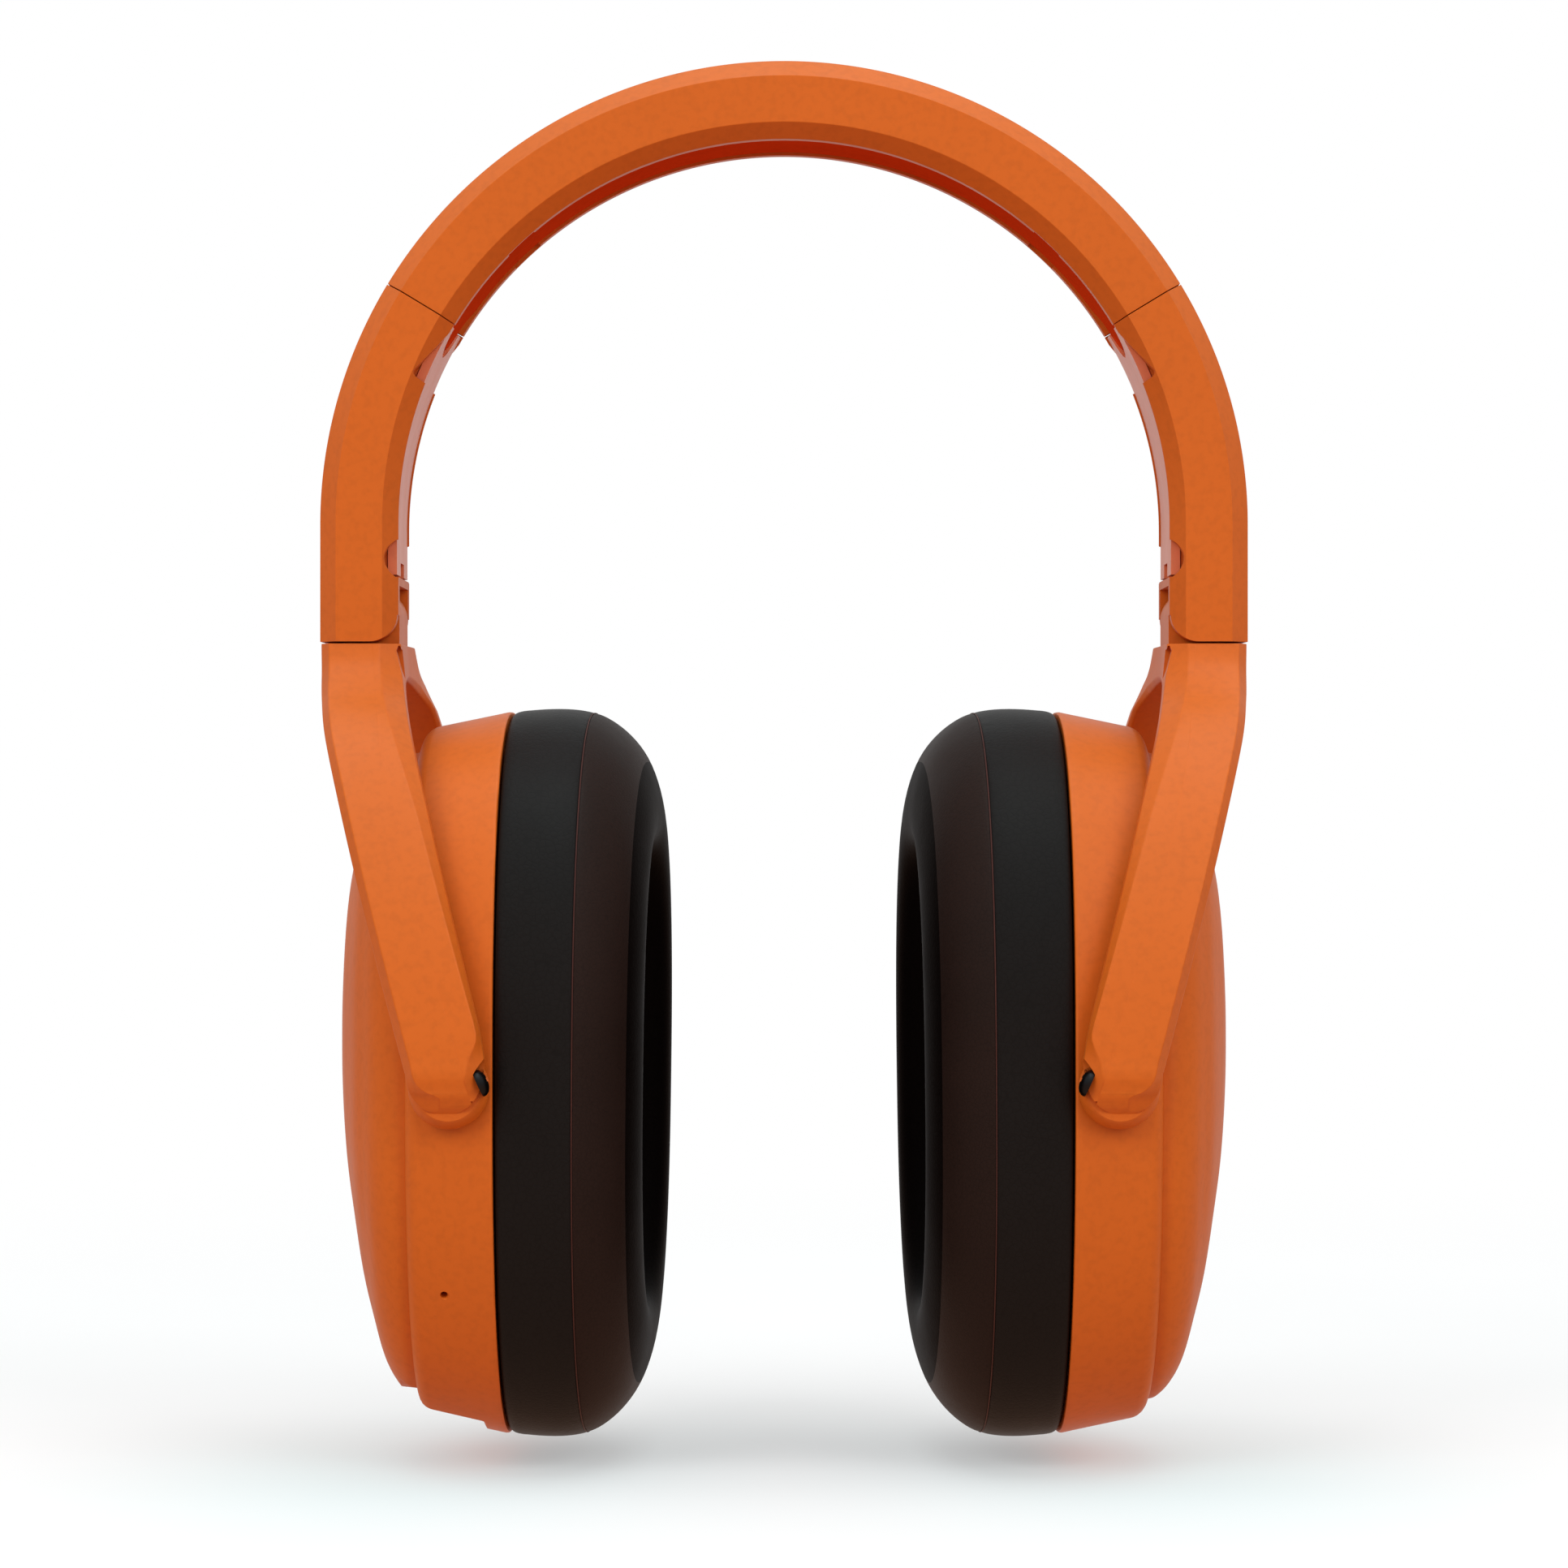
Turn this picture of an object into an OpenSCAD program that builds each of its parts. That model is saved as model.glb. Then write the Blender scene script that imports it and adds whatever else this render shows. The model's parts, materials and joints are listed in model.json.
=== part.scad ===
// Circumaural hearing protection earmuffs: one-piece arched headband, two
// sliding arms with fold hinges, two forked yokes and two tilting ear cups.
// Millimetres. Origin at the crown of the headband's inner face, +Z up,
// X across the head, -Y towards the front. Left-hand pieces lie at -X.

/* [Headband] */
// Inner radius of the headband arch
band_ri = 54.1; // [52:0.1:58]
// Thickness of the headband from inner to outer face
band_t = 11; // [10.5:0.1:12]
// Half of the headband's width, front to rear
band_hw = 13.5; // [12.5:0.1:15]
// Angle of the slider seam above the arch's horizontal diameter
seam_a = 31.3; // [28:0.1:34]
// Half width of the padded liner strip
liner_hw = 8.6; // [7:0.1:9]

/* [Arm] */
// Height of the yoke's flat top below the crown
yoke_top = 70.85; // [70:0.05:72]
// Fold hinge pin: height below the crown
fold_z = 66.8; // [66.5:0.05:67]
// Fold hinge pin: distance from the middle plane
fold_x = 58; // [57.8:0.1:58.2]
// Radius of the fold hinge pin
fold_pin_r = 1.5; // [1.2:0.1:1.8]
// Running clearance of a pin in its bore, on the radius
run_gap = 0.06; // [0.03:0.01:0.1]

/* [Ear cup] */
// Height of the ear cup's centre below the crown
cup_z = 131.3; // [130:0.1:132]
// Tilt axis: height below the crown
tilt_z = 131.3; // [131:0.1:132]
// Tilt axis: distance from the middle plane
tilt_x = 45.4; // [45:0.1:46]
// Half height of the housing at its joint with the cushion
cup_b = 51.1; // [50:0.1:52]
// Half width of the housing at its joint with the cushion
cup_a = 38.5; // [37.5:0.1:38.6]
// Toe-in of the ear cup about the vertical
toe = 1.5; // [0:0.1:2]
// Squareness of the ear cup's outline
cup_n = 2.4; // [2:0.1:2.8]
// Radius of the tilt pins
tilt_pin_r = 2; // [1.5:0.1:2.2]

/* [Hidden] */
$fn = 64;
band_ro = band_ri + band_t;
arc_z = -band_ri;
SEG = 56;
strip_r = 57;         // radial place of the slider strip at the seam
orange = [0.83, 0.41, 0.15];
orange_in = [0.80, 0.44, 0.33];
red_liner = [0.72, 0.22, 0.09];
black = [0.09, 0.085, 0.085];
steel = [0.62, 0.63, 0.65];

// ---------------------------------------------------------------- helpers
// A closed surface through rings of equal length. Caps close both ends;
// with loop the last ring joins the first instead.
function loft_faces(n, m, loop) = concat(
  [for (i = [0 : (loop ? n - 1 : n - 2)], j = [0 : m - 1])
     [i * m + j, ((i + 1) % n) * m + (j + 1) % m, i * m + (j + 1) % m]],
  [for (i = [0 : (loop ? n - 1 : n - 2)], j = [0 : m - 1])
     [i * m + j, ((i + 1) % n) * m + j, ((i + 1) % n) * m + (j + 1) % m]],
  loop ? [] : [[for (j = [0 : m - 1]) j], [for (j = [m - 1 : -1 : 0]) (n - 1) * m + j]]);
module loft(rings, loop = false) {
  m = len(rings[0]);
  polyhedron(points = [for (r = rings, p = r) p],
             faces = loft_faces(len(rings), m, loop), convexity = 8);
}
function sgn_pow(v, e) = (v < 0 ? -1 : 1) * pow(abs(v), e);
// Superellipse ring in the plane x = const about the cup's centre. The wedge
// w tips it so that a cushion is thicker at the rear and at the top.
function ring(x, a, b, w = 0, n = cup_n) =
  [for (k = [0 : SEG - 1]) let (t = 360 * k / SEG,
     y = a * sgn_pow(cos(t), 2 / n), z = b * sgn_pow(sin(t), 2 / n))
     [x + w * (y * 0.033 + z * 0.012), y, z - cup_z]];
// The cup's pieces, toed in about the tilt axis' vertical
module toed() translate([-tilt_x, 0, 0]) rotate([0, 0, -toe]) translate([tilt_x, 0, 0]) children();
module right() mirror([1, 0, 0]) children();
// Turns a profile drawn in (radius, width) about the arch's axis
module arch(a0, a1) translate([0, 0, arc_z]) rotate([90, 0, 0]) rotate([0, 0, a0])
  rotate_extrude(angle = a1 - a0, $fn = 180) children();
// Local frame at the left seam: x radial, y along the slide towards the arm
module at_seam() translate([0, 0, arc_z]) rotate([90, 0, 0]) rotate([0, 0, 180 - seam_a]) children();
module cyl_y(r, y0, y1) translate([0, y0, 0]) rotate([-90, 0, 0]) cylinder(r = r, h = y1 - y0);
module cyl_x(r, x0, x1) translate([x0, 0, 0]) rotate([0, 90, 0]) cylinder(r = r, h = x1 - x0);
module box2(a, b) translate(a) cube(b - a);

// Chamfered section of the band and the arms
module band_section() polygon([
  [band_ri, -band_hw + 2.6], [band_ri + 2.1, -band_hw], [band_ro - 2.4, -band_hw],
  [band_ro, -band_hw + 3], [band_ro, band_hw - 3], [band_ro - 2.4, band_hw],
  [band_ri + 2.1, band_hw], [band_ri, band_hw - 2.6]]);
module slot_section(r0, r1, hw) polygon([[r0, -hw], [r1, -hw], [r1, hw], [r0, hw]]);

// --------------------------------------------------------------- headband
module headband_shell() color(orange) difference() {
  arch(seam_a, 180 - seam_a) band_section();
  // recess for the liner
  arch(seam_a - 1, 181 - seam_a) slot_section(band_ri - 1, band_ri + 1.75, liner_hw + 0.2);
  // sealed slot for the spring
  arch(57.4, 122.6) slot_section(60.35, 61.25, 8.1);
  for (s = [0, 1]) mirror([s, 0, 0]) at_seam() {
    // channel for the slider strip
    box2([strip_r - 0.75, -26.4, -7.2], [strip_r + 0.75, 1, 7.2]);
    // pocket for the detent spring
    box2([strip_r + 0.7, -15.5, -3.1], [strip_r + 2.4, -1.5, 3.1]);
  }
}
module headband_liner() color(red_liner) difference() {
  union() {
    arch(seam_a + 0.1, 179.9 - seam_a) slot_section(band_ri + 0.35, band_ri + 1.7, liner_hw);
    // tongues that lap over each arm's inner plate
    arch(seam_a - 3.4, 183.4 - seam_a) slot_section(band_ri + 0.35, band_ri + 1.15, 5.2);
  }
  // chamfered tongue tips
  for (s = [0, 1], t = [-1, 1]) mirror([s, 0, 0]) at_seam() translate([band_ri + 0.7, 3.3, t * 5.4])
    rotate([45, 0, 0]) cube([4, 4.4, 4.4], center = true);
}
module headband_spring() color(steel) arch(57.6, 122.4) slot_section(60.45, 61.15, 8);

// -------------------------------------------------------------------- arm
module arm_body() {
  arch(180 - seam_a + 0.15, 180) band_section();
  translate([0, 0, arc_z - (fold_z + 3.75 + arc_z)]) linear_extrude(height = fold_z + 3.75 + arc_z + 0.01)
    rotate([0, 0, 180]) band_section();
}
module at_fold() translate([-fold_x, 0, -fold_z]) children();
module left_arm_shell() color(orange) difference() {
  arm_body();
  // rounded lower inner corner of the hinge ears
  at_fold() difference() {
    box2([0, -20, -6], [8, 20, 0]);
    cyl_y(3.75, -21, 21);
  }
  // space for the yoke's knuckle between the ears
  at_fold() cyl_y(4.2, -8.5, 8.5);
  at_fold() box2([-4.2, -8.5, -6], [8, 8.5, 0]);
  at_fold() box2([0, -8.5, -0.1], [8, 8.5, 4.2]);
  // pin bores: blind in front, open at the rear
  at_fold() cyl_y(fold_pin_r + 0.01, -12, 20);
  // recess for the inner plate
  arch(179 - seam_a, 180) slot_section(band_ri - 1, band_ri + 1.6, 10.4);
  box2([-band_ri - 1.6, -10.4, -fold_z + 5.4], [-band_ri + 1, 10.4, arc_z + 0.01]);
  // scalloped notches in both inner edges
  for (s = [-1, 1]) {
    translate([0, 0, arc_z]) rotate([0, 180 + 23, 0]) translate([-0, 0, 0])
      translate([band_ri - 1.6, s * 13, 0]) rotate([90, 0, 0]) cylinder(r = 3.4, h = 5.2, center = true);
    translate([-band_ri + 1.6, s * 13, -fold_z + 7.6]) rotate([90, 0, 0]) cylinder(r = 2.5, h = 5.2, center = true);
  }
  // slot that holds the slider strip, and its screws
  at_seam() {
    box2([strip_r - 0.62, -1, -7.05], [strip_r + 0.62, 18.1, 7.05]);
    for (s = [6, 13]) translate([0, s, 0]) {
      cyl_x(0.8, strip_r - 1, strip_r + 3.6);
      cyl_x(1.55, band_ri, strip_r);
    }
  }
}
module left_arm_inner_plate() color(orange_in) difference() {
  union() {
    arch(180 - seam_a + 0.4, 180) slot_section(band_ri + 0.2, band_ri + 1.55, 10.3);
    box2([-band_ri - 1.55, -10.3, -fold_z + 5.6], [-band_ri - 0.2, 10.3, arc_z]);
  }
  // open-ended pocket under the liner's tongue
  at_seam() union() {
    box2([band_ri - 1, -1, -5.6], [band_ri + 1.4, 0, 5.6]);
    intersection() {
      box2([band_ri - 1, -1, -5.6], [band_ri + 1.4, 4.4, 5.6]);
      translate([0, -1.2, 0]) cyl_x(5.6, band_ri - 1, band_ri + 1.4);
    }
  }
  // small slot above the knuckle
  box2([-band_ri - 2, -3, -fold_z + 5.5], [-band_ri + 1, 3, -fold_z + 7.4]);
}
module left_slider_strip() color(steel) at_seam() difference() {
  box2([strip_r - 0.6, -26, -7], [strip_r + 0.6, 18, 7]);
  for (s = [-24 : 2.5 : -1.5]) translate([0, s, 0]) cyl_x(0.8, strip_r - 2, strip_r + 2);
  for (s = [6, 13]) translate([0, s, 0]) cyl_x(0.8, strip_r - 2, strip_r + 2);
}
module left_slider_screws() color(steel) at_seam() for (s = [6, 13]) translate([0, s, 0]) difference() {
  union() {
    cyl_x(0.75, strip_r - 1.1, strip_r + 3.4);
    cyl_x(1.45, strip_r - 1.25, strip_r - 0.62);
  }
  box2([strip_r - 1.4, -0.25, -1], [strip_r - 1, 0.25, 1]);
}
module left_detent_spring() color(steel) at_seam() {
  box2([strip_r + 1.75, -15, -2.8], [strip_r + 2.1, -2, 2.8]);
  translate([strip_r + 1.55, -6.5, -2.4]) cylinder(r = 0.6, h = 4.8);
}
module left_fold_pin() color(steel) at_fold() cyl_y(fold_pin_r, -11.8, band_hw - 0.2);

// ------------------------------------------------------------------- yoke
// Side outline of half a yoke, from the middle of its bridge to its end:
// outer y, outer drop, inner y, inner drop, with drops below the yoke's top.
YK = [
  [0, 0, 0, 5.15], [6.5, 0, 4.5, 5.55], [13.3, 0, 9, 6.65], [14.6, 3.2, 11.5, 7.55],
  [18.2, 6.8, 14.5, 9.05], [23, 10.3, 18.4, 11.65], [28, 15, 22.6, 15.25],
  [32.4, 21, 26.9, 20.15], [36.4, 28.1, 31.2, 26.85], [39.9, 36.2, 34.9, 35.25],
  [42.3, 44.6, 37.3, 44.25], [43.7, 53, 38.8, 52.85], [44.2, 59.05, 39.2, 59.05],
  [44.2, 60.7, 39.2, 60.7], [44.2, 62.1, 39.2, 62.1], [44.2, 63.2, 39.2, 63.2],
  [44.2, 63.9, 39.2, 63.9], [44.2, 64.2, 39.2, 64.2]];
yoke_end_r = 5.2;
yoke_end_d = 59.05;
// Outer, parting and inner x of the yoke at a drop d below its top
function end_w(d) = let (e = (d - yoke_end_d) / yoke_end_r) e <= 0 ? yoke_end_r : yoke_end_r * sqrt(max(0.003, 1 - e * e));
yoke_end_x = -tilt_x - 0.3;
function yo(d) = d > yoke_end_d ? yoke_end_x - end_w(d)
  : lookup(d, [[0, -64.9], [7, -64.6], [12, -63.65], [22, -60.9], [yoke_end_d, yoke_end_x - yoke_end_r]]);
// the rear arm leans further in under the bridge
function lean(d, y) = lookup(d, [[0, 0.4], [4, 0.9], [9, 1.9], [16, 1.9], [26, 1], [36, 0]]) * min(1, max(0, y / 14));
function yi(d, y = 0) = d > yoke_end_d ? yoke_end_x + end_w(d)
  : lean(d, y) + lookup(d, [[0, -53.7], [3, -53.6], [7, -52.9], [12, -51.7], [16, -50.8], [yoke_end_d, yoke_end_x + yoke_end_r]]);
function ym(d) = lookup(d, [[0, -57.8], [16, -55.3], [34, -50.7], [46, -46.8], [59.75, -42.8], [66, -41.2]]);
function mixp(p, q, s) = [p[0] + (q[0] - p[0]) * s, p[1] + (q[1] - p[1]) * s];
// One ring of a yoke half: k station, side +-1, outer half or inner half
function yoke_ring(k, sd, outer) = let (
    s = YK[k], O = [s[0] * sd, s[1]], I = [s[2] * sd, s[3]],
    L = sqrt((O[0] - I[0]) * (O[0] - I[0]) + (O[1] - I[1]) * (O[1] - I[1])),
    c = k < 2 ? 0.02 : k == 2 ? 0.03 : 2.2 / L, c2 = k < 2 ? 0.02 : k == 2 ? 0.03 : 1.6 / L,
    e = k > 12 ? end_w(s[1]) / yoke_end_r : 1,
    A = mixp(O, I, outer ? c : 0), B = mixp(O, I, outer ? 0 : c2), q = mixp(O, I, 0.9), Q = I)
  outer
  ? [[yo(A[1]), A[0], -yoke_top - A[1]],
     [yo(O[1]) + 1.5 * e, O[0], -yoke_top - O[1]],
     [min(ym(O[1]), yi(O[1]) - 0.15) - 0.05, O[0], -yoke_top - O[1]],
     [min(ym(Q[1]), yi(Q[1]) - 0.15) - 0.05, Q[0], -yoke_top - Q[1]],
     [yo(Q[1]) + 0.6 * e, Q[0], -yoke_top - Q[1]],
     [yo(q[1]), q[0], -yoke_top - q[1]]]
  : [[ym(O[1]), O[0], -yoke_top - O[1]],
     [max(yi(O[1], O[0]) - 2.2 * e, ym(O[1]) + 0.3), O[0], -yoke_top - O[1]],
     [yi(B[1], B[0]), B[0], -yoke_top - B[1]],
     [yi(q[1], q[0]), q[0], -yoke_top - q[1]],
     [yi(Q[1], Q[0]) - 0.5 * e, Q[0], -yoke_top - Q[1]],
     [ym(Q[1]), Q[0], -yoke_top - Q[1]]];
module yoke_half(outer, last) loft(concat(
  [for (k = [last : -1 : 1]) yoke_ring(k, -1, outer)],
  [for (k = [0 : last]) yoke_ring(k, 1, outer)]));
module at_tilt() translate([-tilt_x, 0, -tilt_z]) children();
// Cuts shared by both halves: pivot pin sockets and screws
module yoke_cuts() for (s = [-1, 1]) {
  at_tilt() cyl_y(tilt_pin_r + 0.01, s > 0 ? 38 : -40.1, s > 0 ? 40.1 : -38);
  at_screw(s) {
    cyl_x(0.85, -5.6, 0.1);
    rotate([0, 90, 0]) cylinder(r1 = 1.75, r2 = 3, h = 3.4);
  }
}
module at_screw(s) translate([-41.2, s * 42, -tilt_z + 0.5]) rotate([0, -24.4, 0]) children();
module left_yoke_outer() color(orange) difference() {
  yoke_half(true, len(YK) - 1);
  yoke_cuts();
}
module left_yoke_inner() color(orange) difference() {
  union() {
    yoke_half(false, 14);
    // knuckle of the fold hinge and its neck
    intersection() {
      union() {
        at_fold() cyl_y(3.85, -8.2, 8.2);
        at_fold() box2([-3.85, -8.2, -4.04], [3.85, 8.2, 0]);
      }
      at_fold() box2([-6, -9, -4.04], [6, 9, 6]);
    }
    at_fold() box2([0.6, -8.2, -6], [3.85, 8.2, -3.9]);
  }
  at_fold() cyl_y(fold_pin_r + run_gap, -9, 9);
  yoke_cuts();
}
module left_yoke_screws() color(black) for (s = [-1, 1]) at_screw(s) difference() {
  union() {
    cyl_x(0.8, -5.4, 0.1);
    cyl_x(1.65, 0.02, 0.75);
    translate([0.75, 0, 0]) rotate([0, 90, 0]) cylinder(r1 = 1.65, r2 = 1.1, h = 0.5);
  }
  box2([0.8, -0.28, -1.05], [1.5, 0.28, 1.05]);
  box2([0.8, -1.05, -0.28], [1.5, 1.05, 0.28]);
}
module left_tilt_pins() color(steel) for (s = [-1, 1]) at_tilt()
  cyl_y(tilt_pin_r, s > 0 ? 33.6 : -40, s > 0 ? 40 : -33.6);
module left_tilt_bushes() color(black) for (s = [-1, 1]) at_tilt() difference() {
  cyl_y(3.4, s > 0 ? 33.2 : -36.6, s > 0 ? 36.6 : -33.2);
  cyl_y(tilt_pin_r + run_gap, s > 0 ? 32 : -37, s > 0 ? 37 : -32);
}

// ---------------------------------------------------------------- ear cup
hx0 = -38.45;       // joint with the cushion
hx1 = -48.7;        // end of the drafted wall
hx2 = -50.7;        // back face
module housing_wall() loft([
  ring(hx2, cup_a - 4.6, cup_b - 4.6), ring(hx2 + 0.12, cup_a - 3.8, cup_b - 3.8), ring(hx2 + 0.5, cup_a - 3.1, cup_b - 3.1),
  ring(hx1, cup_a - 2.1, cup_b - 2.1), ring(hx0 - 0.6, cup_a - 0.1, cup_b - 0.1), ring(hx0, cup_a - 0.35, cup_b - 0.35),
  ring(hx0, cup_a - 2.9, cup_b - 2.9), ring(hx0 - 0.6, cup_a - 2.9, cup_b - 2.9), ring(hx1 + 0.6, cup_a - 4.9, cup_b - 4.9),
  ring(hx2, cup_a - 6.4, cup_b - 6.4)], loop = true);
// Boss round each tilt bush, joined to the wall
module tilt_boss() difference() {
  for (s = [-1, 1]) at_tilt() cyl_y(4.4, s > 0 ? 33 : -36.7, s > 0 ? 36.7 : -33);
  toed() box2([-40.5, -60, -cup_z - 20], [-30, 60, -cup_z + 20]);
}
module housing_cuts() {
  for (s = [-1, 1]) at_tilt() {
    cyl_y(3.42, s > 0 ? 32 : -36.62, s > 0 ? 36.62 : -32);
    cyl_y(tilt_pin_r + 0.3, s > 0 ? 32 : -40, s > 0 ? 40 : -32);
  }
}
SCR = [[22, 30], [-22, 30], [22, -30], [-22, -30]];   // cup screws, y and z
module cup_bosses() for (p = SCR) translate([0, p[0], p[1] - cup_z]) cyl_x(2.6, -50.5, -42.5);
port_hw = 15;       // half length of the recess round the charging socket
// Height of the housing's outline below its centre, midway up the draft
function rim(y) = (cup_b - 1.68) * pow(1 - pow(abs(y) / (cup_a - 1.68), cup_n), 1 / cup_n);
// Prism that follows the rim; each station is its x and the floor's depth there
module port_recess(st) loft([for (q = st) concat([[q[0], -port_hw, -6], [q[0], port_hw, -6]],
  [for (y = [port_hw : -3 : -port_hw]) [q[0], y, q[1] + rim(0) - rim(y)]])]);
module left_cup_housing() color(orange) difference() {
  union() {
    toed() housing_wall();
    tilt_boss();
    toed() loft([ring(hx2 + 0.1, 24.6, 37.4), ring(hx2 + 0.1, cup_a - 5.6, cup_b - 5.6),
                 ring(hx2 + 1.3, cup_a - 5.1, cup_b - 5.1), ring(hx2 + 1.3, 24.6, 37.4)], loop = true);
    toed() cup_bosses();
  }
  housing_cuts();
  toed() {
    for (p = SCR) translate([0, p[0], p[1] - cup_z]) cyl_x(0.92, -50, -42);
    // microphone hole
    translate([-45.5, -32.4, -cup_z - 28.9]) rotate([22, 0, 0]) translate([0, 6, 0]) rotate([90, 0, 0]) cylinder(r = 0.5, h = 9);
    // stepped recess round the charging socket, and the socket's opening
    translate([-47.3, 0, -cup_z - rim(0)]) rotate([0, 7.7, 0]) port_recess([[-7.5, 1.82], [4.4, 1.82], [5.6, -0.2], [5.9, -0.8]]);
    box2([-48.8, -4.7, -cup_z - cup_b], [-45, 4.7, -cup_z - cup_b + 10]);
  }
}
module right_cup_housing_() difference() {
  union() {
    toed() housing_wall();
    tilt_boss();
    toed() loft([ring(hx2 + 0.1, 24.6, 37.4), ring(hx2 + 0.1, cup_a - 5.6, cup_b - 5.6),
                 ring(hx2 + 1.3, cup_a - 5.1, cup_b - 5.1), ring(hx2 + 1.3, 24.6, 37.4)], loop = true);
    toed() cup_bosses();
  }
  housing_cuts();
  toed() for (p = SCR) translate([0, p[0], p[1] - cup_z]) cyl_x(0.92, -50, -42);
}
// Domed cap: half height, x, and rise of the ring's centre above the cup's
DOME = [[0.8, -62.36, 4.8], [8.5, -62.2, 4.9], [14, -61.8, 5], [21.6, -61, 5.5], [27.3, -60, 5], [33.8, -58.55, 3.3],
        [38.1, -57.1, 1.9], [41.9, -55.65, 0.75], [44.3, -54, 0.1], [45.6, -52.2, -0.4], [45.8, -50.85, -0.6]];
cap_k = 0.73;
function raised(r, c) = [for (p = r) [p[0], p[1], p[2] + c]];
module left_cup_cap() color(orange) difference() {
  cap_dome();
  // the recess round the charging socket runs on into the dome's foot
  toed() translate([-52.3, 0, -cup_z - rim(0)]) rotate([0, 7.7, 0]) port_recess([[-4, 4.7], [3, 4.7]]);
}
module cap_dome() toed() loft(concat(
  [for (p = DOME) raised(ring(p[1], p[0] * cap_k, p[0]), p[2])],
  [ring(-50.85, 30.4, 42.2), ring(-52.3, 30.2, 42)],
  [for (i = [6 : -1 : 0]) raised(ring(DOME[i][1] + 2, DOME[i][0] * cap_k * 0.94, DOME[i][0] * 0.965), DOME[i][2])]));
module left_baffle_plate() color(black) difference() {
  toed() difference() {
    loft([ring(-42.3, cup_a - 4.1, cup_b - 4.1), ring(-40.2, cup_a - 3.5, cup_b - 3.5)]);
    translate([0, 0, -cup_z]) cyl_x(18.6, -43, -39);
    for (p = SCR) translate([0, p[0], p[1] - cup_z]) { cyl_x(1.05, -43, -39); cyl_x(1.85, -41.2, -39); }
  }
  // notches round the tilt bosses
  for (s = [-1, 1]) at_tilt() box2([0, s > 0 ? 32.6 : -40, -5.3], [7, s > 0 ? 40 : -32.6, 5.3]);
}
module left_speaker_basket() color([0.25, 0.25, 0.26]) toed() translate([0, 0, -cup_z]) difference() {
  union() { cyl_x(18.5, -41.6, -40.4); cyl_x(16, -47, -41.5); cyl_x(20.2, -43.4, -42.35); }
  cyl_x(14.5, -46, -40);
  cyl_x(6.02, -48, -45);
}
module left_speaker_magnet() color(steel) toed() translate([0, 0, -cup_z]) { cyl_x(9.5, -51, -47.05); cyl_x(6, -47.06, -45.9); }
module left_acoustic_foam() color([0.2, 0.2, 0.21]) toed()
  loft([ring(-56.4, 16, 22), ring(-51.7, 19, 26)]);
module left_cushion_ring() color(black) toed()
  loft([ring(-40.1, cup_a - 3.3, cup_b - 3.3), ring(-38.6, cup_a - 3.3, cup_b - 3.3),
        ring(-38.6, 20.6, 31.6), ring(-40.1, 20.6, 31.6)], loop = true);
module left_inner_screen() color([0.13, 0.12, 0.12]) toed()
  loft([ring(-39.2, 20.4, 31.4), ring(-38.7, 20.4, 31.4)]);
function pa(b) = 38.7 - 0.93 * (51.4 - b);
PAD = [[-38.25, 50.9, 0], [-36, 51.4, 0], [-31, 51.5, 0.25], [-27, 50.9, 0.5], [-23.6, 49, 0.7],
       [-20.8, 45.9, 0.85], [-19, 42, 0.95], [-18.1, 38, 1], [-18, 35.4, 1], [-18.6, 33.2, 1],
       [-20.2, 31.9, 0.85], [-23, 31.2, 0.6], [-31, 31, 0.2], [-38.25, 31.2, 0]];
module left_cushion() color(black) toed() loft([for (p = PAD) ring(p[0], pa(p[1]), p[1], p[2])], loop = true);
module left_cup_screws() color(steel) toed() for (p = SCR) translate([0, p[0], p[1] - cup_z]) difference() {
  union() { cyl_x(0.9, -48, -41.1); cyl_x(1.75, -41.15, -40.3); }
  box2([-40.7, -0.3, -1.2], [-40, 0.3, 1.2]);
  box2([-40.7, -1.2, -0.3], [-40, 1.2, 0.3]);
}

// ----------------------------------------------------- left cup's electronics
module circuit_board() color([0.1, 0.35, 0.18]) toed() {
  box2([-48.2, -16, -cup_z - 41], [-47, 16, -cup_z - 22]);
  box2([-47.01, -8, -cup_z - 34], [-45.6, 3, -cup_z - 26]);
  box2([-47.01, 6, -cup_z - 33], [-46, 11, -cup_z - 28]);
}
module battery_pack() color([0.75, 0.76, 0.78]) toed() box2([-49.2, -13, -cup_z + 21.5], [-43.8, 13, -cup_z + 38.5]);
module microphone_capsule() color(steel) toed() translate([-45.5, -32.4, -cup_z - 28.9]) rotate([22, 0, 0])
  translate([0, 5.8, 0]) rotate([90, 0, 0]) cylinder(r = 2, h = 1.7);
module charging_socket() color(steel) toed() difference() {
  box2([-48.7, -4.6, -cup_z - 47.6], [-45.1, 4.6, -cup_z - 41.1]);
  box2([-48.3, -4.2, -cup_z - 48], [-45.5, 4.2, -cup_z - 42]);
}

headband_shell();
headband_liner();
headband_spring();
left_arm_shell();
left_arm_inner_plate();
left_slider_strip();
left_slider_screws();
left_detent_spring();
left_fold_pin();
left_yoke_outer();
left_yoke_inner();
left_yoke_screws();
left_tilt_pins();
left_tilt_bushes();
left_cup_housing();
left_cup_cap();
left_baffle_plate();
left_speaker_basket();
left_speaker_magnet();
left_acoustic_foam();
left_cushion_ring();
left_inner_screen();
left_cushion();
left_cup_screws();
right() left_arm_shell();  // right_arm_shell
right() left_arm_inner_plate();  // right_arm_inner_plate
right() left_slider_strip();  // right_slider_strip
right() left_slider_screws();  // right_slider_screws
right() left_detent_spring();  // right_detent_spring
right() left_fold_pin();  // right_fold_pin
right() left_yoke_outer();  // right_yoke_outer
right() left_yoke_inner();  // right_yoke_inner
right() left_yoke_screws();  // right_yoke_screws
right() left_tilt_pins();  // right_tilt_pins
right() left_tilt_bushes();  // right_tilt_bushes
color(orange) right() right_cup_housing_();  // right_cup_housing
right() color(orange) cap_dome();  // right_cup_cap
right() left_baffle_plate();  // right_baffle_plate
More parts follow.
